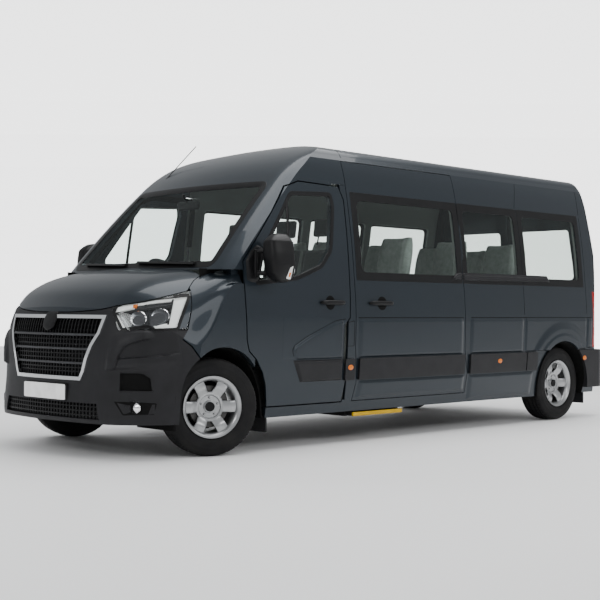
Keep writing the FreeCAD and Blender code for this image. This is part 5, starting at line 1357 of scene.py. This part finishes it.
def round_patch(name, tree, side, centre, radii, lift, thickness, material, body="root", rings=7):
    """A round or oval pad on a side panel, crowned by its lift, its rim under the skin.

    Height = lift * (1 - 0.7 * share to the power 4), at a share of the radii.
    """
    angle = full_turn(48)
    loops = []
    for share, height in [(1.0, -thickness), (1.0, 0.2 * lift)] + [
            (s, (1.0 - 0.7 * s ** 4) * lift) for s in np.linspace(0.94, 0.10, rings)]:
        flat = np.stack([centre[0] + radii[0] * share * np.cos(angle),
                         centre[1] + radii[1] * share * np.sin(angle)], axis=-1)
        points, normals = from_side(flat, side, tree)
        loops.append(points + normals * height)
    return make_piece(name, *capped(loops), material, body)


def mirror_points():
    """The left mirror's head: rounded sections stacked upwards, bulging outwards, flat behind.

    Section: x = centre + a * sign(cos) |cos|^p, y likewise with sin, closing in towards both ends.
    """
    levels = np.linspace(-1.0, 1.0, MIRROR_LEVELS)
    levels = np.sign(levels) * np.abs(levels) ** 0.7
    angle = full_turn(MIRROR_SEGMENTS)
    across, along = power_round(angle, np.where(np.cos(angle) > 0.0, 0.25, 0.75), 0.55)
    rows = []
    for level in levels:
        z = 0.5 * (MIRROR_LOW + MIRROR_HIGH) + 0.5 * (MIRROR_HIGH - MIRROR_LOW) * level
        close = max(0.06, (1.0 - abs(level) ** 6) ** 0.35)
        outer, inner, front = (np.interp(z, *line) for line in (MIRROR_OUTER, MIRROR_INNER, MIRROR_FRONT))
        seam = SEAM_CUT if abs(z - MIRROR_SEAM) < SEAM_CUT else 0.0
        half_x = 0.5 * (MIRROR_REAR - front) * close - seam
        half_y = 0.5 * (inner - outer) * close - seam
        x = 0.5 * (MIRROR_REAR + front) + half_x * across
        y = 0.5 * (inner + outer) + half_y * along
        rows.append(np.stack([behind(x), y, np.full(MIRROR_SEGMENTS, z)], axis=-1))
    return np.array(rows)


def build_mirror(side, body, head):
    """One outside mirror: head, glass, arms, post and the plate on the door; all but the glass returned."""
    word = WORDS[side]
    glass_edge = rounded([(side * y, z) for y, z in MIRROR_GLASS], 0.02)
    pad_piece("mirror_glass_" + word, glass_edge, behind(0.5025), 0.006, MIRROR_FACE, body)
    share = np.linspace(0.0, 1.0, 9)
    pieces = [make_piece("mirror_head_" + word, *capped(flip(head, side)), BLACK, body)]
    for number, z in enumerate((1.300, 1.462)):
        path = [(behind(0.300 + 0.06 * t), side * (0.975 + 0.135 * t), z + 0.01 * math.sin(3.1 * t))
                for t in share]
        name = "mirror_arm_%d_%s" % (number, word)
        pieces.append(make_piece(name, *capped(tube(path, 0.018)), BLACK, body))
    path = [(behind(0.302 + 0.004 * t), side * (1.012 + 0.004 * t), 1.285 + 0.193 * t)
            for t in np.linspace(0.0, 1.0, 8)]
    pieces.append(make_piece("mirror_post_" + word, *capped(tube(path, 0.015)), BLACK, body))
    pieces.append(lay_panel("mirror_plate_" + word, side, skin_of(body, "front_door_glass_" + word),
                            *MIRROR_PLATE, (20, 20), 0.008, BLACK, body))
    return pieces


def build_door_trim():
    """Rub strips, handles with their cups, and outside mirrors of the front doors."""
    head = mirror_points()
    flat = pixel_patch([(0.690, 0.664), (1.240, 0.664)], [(0.770, 0.490), (1.240, 0.490)], *STRIP_SHAPE)
    slant = 0.10 * smooth_step((0.560 - flat[..., 1]) / 0.09)
    corner = smooth_step((flat[..., 0] - 0.676 - slant) / 0.012)
    level = np.linspace(0.0, 1.0, STRIP_SHAPE[0])[:, None]
    rise = (0.0195 * smooth_step(edge_fade(*STRIP_SHAPE, 3)) - 0.004 * level) * corner - 0.0005
    for side in SIDES:
        word = WORDS[side]
        body = "front_door_" + word
        door = skin_of(body)
        points, normals = from_side(flat.reshape(-1, 2), side, door)
        pieces = [sheet_piece("door_strip_" + word, raised(points, normals, rise, STRIP_SHAPE),
                              raised(points, normals, -SHEET_DEPTH, STRIP_SHAPE), CHARCOAL, body),
                  make_piece("door_handle_" + word, *capped(handle_points(door, side, 0.970, 1.236)),
                             BLACK, body)]
        round_patch("door_cup_" + word, door, side, (1.083, HANDLE_Z), (0.052, 0.055), 0.0012, 0.003,
                    BLACK_AND_PAINTED_SHADE, body)
        for piece in pieces + build_mirror(side, body, head):
            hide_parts("front_door_trim_" + word)
    tree = BVHTree.FromPolygons([Vector(p) for p in head.reshape(-1, 3)],
                                [tuple(f) for f in grid_faces(*head.shape[:2], False, True)])
    for name, top, foot, material, lift in MIRROR_SPOTS:
        points, normals = project(pixel_patch(top, foot, 12, 10), tree)
        front = raised(points, normals, lift * edge_fade(12, 10), (12, 10))
        back = raised(points, normals, -0.002, (12, 10))
        for side in SIDES:
            sheet_piece(name + "_" + WORDS[side], flip(front, side), flip(back, side), material,
                        "front_door_" + WORDS[side])


# Smaller fittings of the body
RAIL_TOP = [(452.2, 279.0), (455.6, 273.6), (459.0, 272.6), (500.0, 274.0), (546.8, 276.2)]
RAIL_FOOT = [(452.4, 280.2), (460.0, 280.6), (500.0, 281.6), (550.0, 282.6)]
RAIL_SHAPE = (14, 90)
FUEL_FLAP = [(1.262, 0.760), (1.262, 0.920), (1.285, 0.948), (1.362, 0.962), (1.362, 0.760)]
MARKERS = ((1.312, 0.594), (3.300, 0.594), (4.690, 0.590))
PLATE_PLACES = ([(-0.560, 0.890), (-0.040, 0.890)], [(-0.560, 0.780), (-0.040, 0.780)])


def build_side_fittings():
    """Sliding door handle, rail cover, fuel flap, side markers, clear tail lamp parts and rear plate."""
    slider = skin_of("sliding_door")
    wall = skin_of("body_side_left")
    round_patch("slider_cup", slider, -1, (1.690, HANDLE_Z), (0.056, 0.055), 0.0012, 0.003, BLACK_AND_PAINTED_SHADE)
    make_piece("slider_handle", *capped(handle_points(slider, -1, 1.530, 1.812)), BLACK)
    level = np.linspace(0.0, 1.0, RAIL_SHAPE[0])[:, None]
    rise = (0.016 - 0.006 * np.exp(-((level - 0.5) / 0.12) ** 2)) * smooth_step(edge_fade(*RAIL_SHAPE))
    points, normals = project(pixel_patch(RAIL_TOP, RAIL_FOOT, *RAIL_SHAPE),
                              skin_of("body_side_left", "side_glass"))
    sheet_piece("rail_cover", raised(points, normals, rise, RAIL_SHAPE),
                raised(points, normals, -0.003, RAIL_SHAPE), CHARCOAL)
    outline = resample(rounded(FUEL_FLAP, 0.012), 120, True)
    ring_piece("fuel_flap_seam", band_loops(outline, (-0.001, 0.0, 0.003, 0.004),
                                            (-0.001, 0.0014, 0.0014, -0.001),
                                            lambda flat: from_side(flat, -1, wall)), BLACK_AND_PAINTED_SHADE)
    trim = skin_of("body_trim", "rear_bumper")
    lamps = skin_of("tail_lamps")
    for side in SIDES:
        for number, place in enumerate(MARKERS):
            round_patch("marker_%d_%s" % (number, WORDS[side]), trim, side, place, (0.030, 0.021), 0.006,
                        0.002, AMBER)
        grid = pixel_patch([(side * 0.985, 1.055), (side * 1.016, 1.055)],
                           [(side * 0.990, 0.800), (side * 1.020, 0.800)], 24, 8)
        points, normals = from_end(grid.reshape(-1, 2), -1.0, lamps)
        sheet_piece("tail_lamp_clear_" + WORDS[side],
                    raised(points, normals, 0.002 * edge_fade(24, 8, 1), (24, 8)),
                    raised(points, normals, -0.002, (24, 8)), WHITE_LENS)
    rear_skin = skin_of("rear_door_left", "rear_door_right")
    face = from_end([(-0.340, 0.780)], -1.0, rear_skin)[0][0][0]
    flat = pixel_patch(*PLATE_PLACES, 8, 20).reshape(-1, 2)
    points = np.column_stack([np.full(len(flat), face), flat])
    outward = np.array([1.0, 0.0, 0.0])
    sheet_piece("rear_plate", raised(points, outward, 0.006 * edge_fade(8, 20, 1), (8, 20)),
                raised(points, outward, -0.002, (8, 20)), PLATE, "rear_door_left")


# Linings, sills, seals and seams
ARCH = [(-0.392, 0.200), (-0.386, 0.430), (-0.338, 0.580), (-0.235, 0.702), (-0.120, 0.759),
        (0.0, 0.775), (0.130, 0.752), (0.247, 0.686), (0.334, 0.574), (0.384, 0.455), (0.402, 0.344),
        (0.408, 0.262), (0.4095, 0.2460), (0.447, 0.2455)]
REAR_LINER_RADII = (0.3985, 0.4010)
SILL_RUNS = [("sill", 0.409, 3.860, 180), ("tail_sill", 4.728, 4.920, 16)]
SILL_Y = 0.9275
SILL_LOW = 0.2435
SILL_HIGH = 0.5080
SILL_RIB_PITCH = 0.12
DOOR_HEAD = [(0.198, 1.220), (0.192, 1.390), (0.690, 1.976), (0.830, 2.024), (1.270, 2.014),
             (1.313, 1.915), (1.311, 1.600)]
SEAL_INSETS = (-0.012, 0.005, 0.022, 0.040)
SEAL_DEPTH = 0.052
SEAL_NEAR = 0.015
SEAL_FAR = 0.040
BAFFLE_X = (-0.070, 0.150)
BAFFLE_Z = (1.200, 1.338)
BAFFLE_Y = 0.824
SHEET = 0.004
SEAM_HALF = 0.0022
SEAMS = {
    "quarter_low": [(3.684, 1.278), (3.686, 1.150), (3.687, 1.006)],
    "quarter_high": [(3.656, 1.992), (3.690, 2.100), (3.745, 2.236)],
    "pillar_low": [(4.749, 1.980), (4.749, 1.500), (4.749, 1.006)],
    "pillar_high": [(4.749, 1.992), (4.756, 2.110), (4.775, 2.236)],
}


def placed(x, y, z):
    """Points from places behind the axle, across and up, spread to one shape."""
    return np.stack(np.broadcast_arrays(behind(np.asarray(x)), y, z), axis=-1)


def build_arch_liners():
    """Dark liners inside the front wheel arches, just outside the wheels' room."""
    line = resample(ARCH, 48)
    across = np.linspace(0.545, 0.966, 8)[None, :]
    edges = line, shrunk_open(line, -0.012)
    for side in SIDES:
        grids = [placed(edge[:, :1], side * across, edge[:, 1:]) for edge in edges]
        sheet_piece("arch_liner_" + WORDS[side], *grids, BLACK_AND_PAINTED_SHADE)


def build_rear_liners():
    """Dark linings of the rear arches' edges, from the wheel hood out to the flared lip."""
    line = np.array(arch_line(REAR_LINER_RADII[0], 0.2460, 60)) - [WHEELBASE, HUB_Z]
    share = np.linspace(0.0, 1.0, 8)[None, :]
    for side in SIDES:
        wall = skin_of("body_side_" + WORDS[side])
        lip = np.abs(from_side(arch_line(0.4120, 0.2600, 60), side, wall)[0][:, 1:2]) + 0.014
        y = side * (0.62 * (1.0 - share) + lip * share)
        grids = []
        for radius in REAR_LINER_RADII:
            edge = line * radius / REAR_LINER_RADII[0] + [WHEELBASE, HUB_Z]
            grids.append(placed(edge[:, :1], y, edge[:, 1:]))
        sheet_piece("rear_arch_lining_" + WORDS[side], *grids, BLACK_AND_PAINTED_SHADE)


def build_inner_sills():
    """Pressed inner sill panels below the floor's edges, with shallow upright ribs.

    Y = the sill's Y + 1.5 mm * sine of the run along the sill over the rib pitch.
    """
    for name, start, end, count in SILL_RUNS:
        x, z = np.meshgrid(np.linspace(start, end, count), np.linspace(SILL_LOW, SILL_HIGH, 12))
        y = SILL_Y + 0.0015 * np.sin(x * 2.0 * np.pi / SILL_RIB_PITCH)
        for side in SIDES:
            sheet_piece("inner_%s_%s" % (name, WORDS[side]), placed(x, side * (y + 0.003), z),
                        placed(x, side * y, z), CHASSIS)


def build_door_seals():
    """Dark seals behind the seam round each front door's head, and baffles at the bonnet's corners.

    A seal's Y = the door skin's Y carried on across the seam by its slope, less the seal's depth.
    """
    line = resample(DOOR_HEAD, 90)
    x, z = np.meshgrid(np.linspace(*BAFFLE_X, 20), np.linspace(*BAFFLE_Z, 12))
    wave = 0.001 * np.cos(40.0 * z)
    for side in SIDES:
        door = skin_of("front_door_" + WORDS[side])
        near, far = (np.abs(from_side(shrunk_open(line, inset), side, door)[0][:, 1])
                     for inset in (SEAL_NEAR, SEAL_FAR))
        slope = (far - near) / (SEAL_FAR - SEAL_NEAR)
        rows = []
        for inset in SEAL_INSETS:
            edge = shrunk_open(line, inset)
            half = near + slope * (inset - SEAL_NEAR) - SEAL_DEPTH
            rows.append(placed(edge[:, 0], side * half, edge[:, 1]))
        front = np.array(rows)
        sheet_piece("door_head_seal_" + WORDS[side], front, front - [0.0, side * SHEET, 0.0], BLACK_AND_PAINTED_SHADE)
        sheet_piece("cowl_baffle_" + WORDS[side], placed(x, side * (BAFFLE_Y + wave + SHEET), z),
                    placed(x, side * (BAFFLE_Y + wave), z), BLACK_AND_PAINTED_SHADE)


def build_seams():
    """Fine dark seams between the body side's panels."""
    for side in SIDES:
        wall = skin_of("body_side_" + WORDS[side])
        for name, line in SEAMS.items():
            points = resample(line, 40)
            lay_panel("seam_%s_%s" % (name, WORDS[side]), side, wall, points - [SEAM_HALF, 0.0],
                      points + [SEAM_HALF, 0.0], (4, 40), 0.0006, BLACK_AND_PAINTED_SHADE, border=1)


build_inner_sills()
build_door_seals()
build_seams()
build_rear_liners()
build_side_panels()
build_window_rubber()
build_door_trim()
build_side_fittings()
build_arch_liners()


# Seats: padded cushions, backs and headrests on slim frames
PLACE_PITCH = 0.460
CUSHION_SIZE = (0.455, 0.420, 0.105)
BACK_SIZE = (0.085, 0.420, 0.640)
REST_SIZE = (0.066, 0.225, 0.160)
LEAN_RUN = 0.140
BACK_LEAN = LEAN_RUN / 0.660
SEAT_REACH = 0.400
CUSHION_DROP = 0.120
TALL_STRETCH = 1.26
FLOOR_TOP = 0.600
SEWN_LINES = (-0.13, 0.13)
SEWN_REACH = 0.009
SEWN_DEPTH = 0.006
CLOTH_STEPS = 20
CLOTH_PRESSURE = 4.0
PEDESTAL = ((0.0, 0.0), (0.04, 0.0), (0.12, 0.035), (0.5, 0.055), (0.85, 0.035), (0.95, 0.0), (1.0, 0.0))
CAB_HEIGHTS = (1.01, 1.80)
ROW_HEIGHTS = (1.02, 1.76)
SEATS = [
    ("driver_seat", "cab_seats", DRIVER_CLOTH, 0.76, (0.11, 0.61), CAB_HEIGHTS),
    ("cab_bench", "cab_seats", DRIVER_CLOTH, 0.76, (-0.90, -0.02), CAB_HEIGHTS),
]
for row, row_x in enumerate((1.72, 2.48, 3.24)):
    for kind, span in (("double", (-0.06, 0.86)), ("single", (-0.88, -0.44))):
        SEATS.append(("row_%d_%s" % (row, kind), "passenger_seats", SEAT_CLOTH, row_x, span, ROW_HEIGHTS))
SEATS.append(("last_double", "passenger_seats", SEAT_CLOTH, 4.00, (-0.47, 0.47), ROW_HEIGHTS))
BLOCK_FACES = [(0, 1, 3, 2), (4, 6, 7, 5), (0, 4, 5, 1), (2, 3, 7, 6), (0, 2, 6, 4), (1, 5, 7, 3)]


def evaluated_mesh(holder):
    """A new mesh of an object with its modifiers worked in."""
    graph = bpy.context.evaluated_depsgraph_get()
    return bpy.data.meshes.new_from_object(holder.evaluated_get(graph))


def mesh_points(mesh):
    """Vertex places of a mesh."""
    flat = np.empty(len(mesh.vertices) * 3)
    mesh.vertices.foreach_get("co", flat)
    return flat.reshape(-1, 3)


def soft_block(size, voxel, cap):
    """Points and faces of a stuffed block, centred: remeshed, inflated as cloth, smoothed once."""
    half = np.array(size) * 0.46
    corners = [(x * half[0], y * half[1], z * half[2]) for x in (-1, 1) for y in (-1, 1) for z in (-1, 1)]
    mesh = bpy.data.meshes.new("soft_block")
    mesh.from_pydata(corners, [], BLOCK_FACES)
    holder = bpy.data.objects.new("soft_block", mesh)
    bpy.context.scene.collection.objects.link(holder)
    remesh = holder.modifiers.new("remesh", "REMESH")
    remesh.mode = "VOXEL"
    remesh.voxel_size = voxel
    holder.data = evaluated_mesh(holder)
    holder.modifiers.clear()
    rest = mesh_points(holder.data)
    cloth = holder.modifiers.new("cloth", "CLOTH")
    cloth.settings.use_pressure = True
    cloth.settings.uniform_pressure_force = CLOTH_PRESSURE
    cloth.settings.effector_weights.gravity = 0.0
    cloth.settings.quality = 5
    cloth.point_cache.frame_start = 1
    cloth.point_cache.frame_end = CLOTH_STEPS
    for step in range(1, CLOTH_STEPS + 1):
        bpy.context.scene.frame_set(step)
    moved = mesh_points(evaluated_mesh(holder))
    holder.modifiers.clear()
    bpy.context.scene.frame_set(1)
    moved -= moved.mean(axis=0) - rest.mean(axis=0)
    shift = moved - rest
    length = np.linalg.norm(shift, axis=1)[:, None]
    moved = rest + shift * np.minimum(1.0, cap / np.maximum(length, 1e-6))
    holder.data.vertices.foreach_set("co", moved.reshape(-1))
    smooth = holder.modifiers.new("smooth", "SUBSURF")
    smooth.levels = 1
    smooth.render_levels = 1
    shaped = evaluated_mesh(holder)
    points = mesh_points(shaped)
    faces = [list(polygon.vertices) for polygon in shaped.polygons]
    bpy.data.objects.remove(holder)
    return points, faces


def sewn(points, axis):
    """Points of a pad pressed in along sewn lines, towards the pad's middle along one axis.

    Shift = depth * exp(-(distance off the line / reach) squared).
    """
    pressed = points.copy()
    for line in SEWN_LINES:
        near = np.exp(-((points[:, 1] - line) / SEWN_REACH) ** 2)
        pressed[:, axis] -= np.sign(points[:, axis]) * near * SEWN_DEPTH
    return pressed


def pedestal(x0, x1, y0, y1, low, high):
    """A waisted seat base: rounded rectangles stacked upwards.

    Each ring is the base's rectangle drawn in by the waist at its level.
    """
    rows = []
    for level, waist in PEDESTAL:
        corners = [(x0 + waist, y0 + waist), (x1 - waist, y0 + waist), (x1 - waist, y1 - waist),
                   (x0 + waist, y1 - waist)]
        outline = resample(rounded(corners, 0.04), 40, True)
        rows.append(np.column_stack([outline, np.full(40, low + (high - low) * level)]))
    return capped(rows)


def build_seats():
    """Every seat place gets a cushion and back, and in the cab a headrest; each bench one frame."""
    cushion, cushion_faces = soft_block(CUSHION_SIZE, 0.024, 0.022)
    back, back_faces = soft_block(BACK_SIZE, 0.024, 0.020)
    tall = back * np.array([1.0, 1.0, TALL_STRETCH])
    tall[:, 1] *= 1.0 - 0.24 * smooth_step((tall[:, 2] - 0.10) / 0.30) ** 2
    rest, rest_faces = soft_block(REST_SIZE, 0.016, 0.012)
    cushion, back, tall = sewn(cushion, 2), sewn(back, 0), sewn(tall, 0)
    for name, node, cloth, x, (y0, y1), (cushion_z, top_z) in SEATS:
        passenger = cloth is SEAT_CLOTH
        places = max(1, round((y1 - y0) / PLACE_PITCH))
        width = (y1 - y0) / places
        stretch = np.array([1.0, (width - 0.012) / 0.440, 1.0])
        under = cushion_z - CUSHION_DROP
        foot = x + SEAT_REACH
        head = foot + LEAN_RUN
        back_level = 0.5 * (under + 0.010 + top_z - (0.030 if passenger else 0.190))
        shells = [pedestal(behind(x + 0.070), behind(x + 0.390), y0 + 0.070, y1 - 0.070,
                           FLOOR_TOP + 0.001, under + 0.010)]
        for number in range(places):
            middle = y0 + width * (number + 0.5)
            upright = (tall if passenger else back) * stretch
            upright[:, 0] += (upright[:, 2] + 0.330) * BACK_LEAN
            pads = [("cushion", cushion * stretch + [behind(x + 0.235), middle, cushion_z - 0.066],
                     cushion_faces),
                    ("back", upright + [behind(foot + 0.050), middle, back_level], back_faces)]
            if not passenger:
                leant = rest + [behind(head + 0.062), middle, top_z - 0.090]
                leant[:, 0] += (rest[:, 2] + 0.080) * BACK_LEAN * 0.6
                pads.append(("headrest", leant, rest_faces))
                for offset in (-0.055, 0.055):
                    path = [(behind(head + 0.046 + 0.030 * t), middle + offset, top_z - 0.230 + 0.130 * t)
                            for t in np.linspace(0.0, 1.0, 5)]
                    shells.append(capped(tube(path, 0.006, 10)))
            for kind, points, faces in pads:
                piece = make_piece("%s_%s_%d" % (name, kind, number), points, faces, cloth)
                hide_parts(node)
        rail = [(behind(foot + 0.046), y, under + 0.030) for y in np.linspace(y0 + 0.03, y1 - 0.03, 6)]
        shells.append(capped(tube(rail, 0.018, 12)))
        frame_piece = make_piece(name + "_frame", *merge_shells(shells), BLACK, slot="interior")
        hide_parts(node)


# Cab mirror and the step's dress
INNER_MIRROR = [(-0.120, 1.835), (-0.130, 1.885), (-0.110, 1.905), (0.110, 1.905), (0.130, 1.885),
                (0.120, 1.835)]
STEP_RUN = (1.392, 1.984)
STEP_EDGE_Y = -0.985


def build_cab_details():
    """Interior mirror below the screen's top."""
    pad_piece("inner_mirror", rounded(INNER_MIRROR, 0.015), behind(0.520), 0.030, BLACK, slot="interior")
    stalk = [(behind(0.500 - 0.045 * t), 0.0, 1.880 + 0.075 * t) for t in np.linspace(0.0, 1.0, 6)]
    make_piece("inner_mirror_stalk", *capped(tube(stalk, 0.009, 12)), BLACK, slot="interior")


def build_step_dress():
    """Yellow nosing along the sliding step, and raised ribs on its tread.

    Section = (8 mm, 15.5 mm) * the signed square roots of cosine and sine.
    """
    width, height = power_round(full_turn(24), 0.5, 0.5)
    width *= 0.008
    height *= 0.0155
    rows = [placed(x, STEP_EDGE_Y + width, 0.2185 + height)
            for x in np.linspace(STEP_RUN[0] - 0.001, STEP_RUN[1] + 0.001, 40)]
    make_piece("step_nosing", *capped(rows), YELLOW, "side_step")
    shells = []
    for y in np.linspace(-0.955, -0.700, 9):
        shells.append(capped([placed(x, y + 0.7 * width, 0.2315 + 0.16 * height)
                              for x in np.linspace(STEP_RUN[0] + 0.03, STEP_RUN[1] - 0.03, 12)]))
    make_piece("step_tread", *merge_shells(shells), RUBBER, "side_step", "black_plastic")


build_seats()
build_cab_details()
build_step_dress()


# Camera and studio
FLOOR_HALF = 60.0
WALL_DISTANCE = 22.0
WALL_HALF = 70.0
WALL_TOP = 40.0
WALL_GLOW = 2.2
COVE = 8.0
SKY_STRENGTH = 0.60
SKY_COLOUR = (0.92, 0.94, 0.96, 1.0)
PALE = (0.90, 0.90, 0.90)
SOFT_LAMPS = (
    ("overhead", (0.5, -1.0, 6.5), (0.5, 0.0, 0.0), (7.0, 4.0), 420.0),
    ("left_bank", (0.0, -9.0, 5.0), (0.3, 0.0, 1.2), (9.0, 2.5), 260.0),
    ("front_bank", (-9.0, -1.5, 4.5), (-2.5, 0.0, 1.0), (4.0, 2.0), 140.0),
)


def build_camera():
    """The camera that took the photograph."""
    forward, right, up = VIEW
    data = bpy.data.cameras.new("camera")
    data.sensor_width = SENSOR
    data.lens = CAMERA_LENS
    camera = bpy.data.objects.new("camera", data)
    bpy.context.scene.collection.objects.link(camera)
    turn = Matrix((right, up, -forward)).transposed()
    camera.matrix_world = Matrix.Translation(CAMERA_PLACE) @ turn.to_4x4()
    bpy.context.scene.camera = camera


def area_light(name, place, target, size, power):
    """A soft rectangular lamp aimed at a point."""
    data = bpy.data.lights.new(name, "AREA")
    data.shape = "RECTANGLE"
    data.size, data.size_y = size
    data.energy = power
    lamp = bpy.data.objects.new(name, data)
    bpy.context.scene.collection.objects.link(lamp)
    aim = Vector(target) - Vector(place)
    lamp.matrix_world = Matrix.Translation(place) @ aim.to_track_quat("-Z", "Y").to_matrix().to_4x4()


def stage_mesh(name, points, faces, roughness, rough_range):
    """A pale surface of the studio, riding on no body; returns the object and its shader."""
    mesh = bpy.data.meshes.new(name)
    mesh.from_pydata([tuple(v) for v in points], [], faces)
    surface = bpy.data.objects.new(name, mesh)
    bpy.context.scene.collection.objects.link(surface)
    pale = new_material("studio_" + name, PALE, roughness)
    vary_roughness(pale, object_noise(pale, 1.5), *rough_range)
    mesh.materials.append(pale)
    return surface, pale.node_tree.nodes["Principled BSDF"]


def build_studio():
    """Pale floor, a glowing backdrop behind the vehicle, pale surroundings and large soft lamps."""
    corners = [(x * FLOOR_HALF, y * FLOOR_HALF, 0.0) for x, y in ((-1, -1), (1, -1), (1, 1), (-1, 1))]
    floor, _ = stage_mesh("floor", corners, [(0, 1, 2, 3)], 0.6, (0.5, 0.6))
    forward = np.array([math.cos(CAMERA_YAW), math.sin(CAMERA_YAW), 0.0])
    aside = np.array([-forward[1], forward[0], 0.0])
    rows = [(WALL_DISTANCE + COVE * math.sin(angle), COVE * (1.0 - math.cos(angle)))
            for angle in np.linspace(0.0, 0.5 * math.pi, 12)]
    rows.append((WALL_DISTANCE + COVE, WALL_TOP))
    points = [forward * run + aside * off + np.array([0.0, 0.0, rise + 0.002])
              for run, rise in rows for off in np.linspace(-WALL_HALF, WALL_HALF, 8)]
    backdrop, shader = stage_mesh("backdrop", points, grid_faces(len(rows), 8), 0.7, (0.6, 0.7))
    shader.inputs["Emission Color"].default_value = (1.0, 1.0, 1.0, 1.0)
    shader.inputs["Emission Strength"].default_value = WALL_GLOW
    backdrop.visible_glossy = False
    world = bpy.data.worlds.new("studio")
    bpy.context.scene.world = world
    world.use_nodes = True
    sky = world.node_tree.nodes["Background"]
    sky.inputs["Color"].default_value = SKY_COLOUR
    sky.inputs["Strength"].default_value = SKY_STRENGTH
    for lamp in SOFT_LAMPS:
        area_light(*lamp)


build_camera()
build_studio()
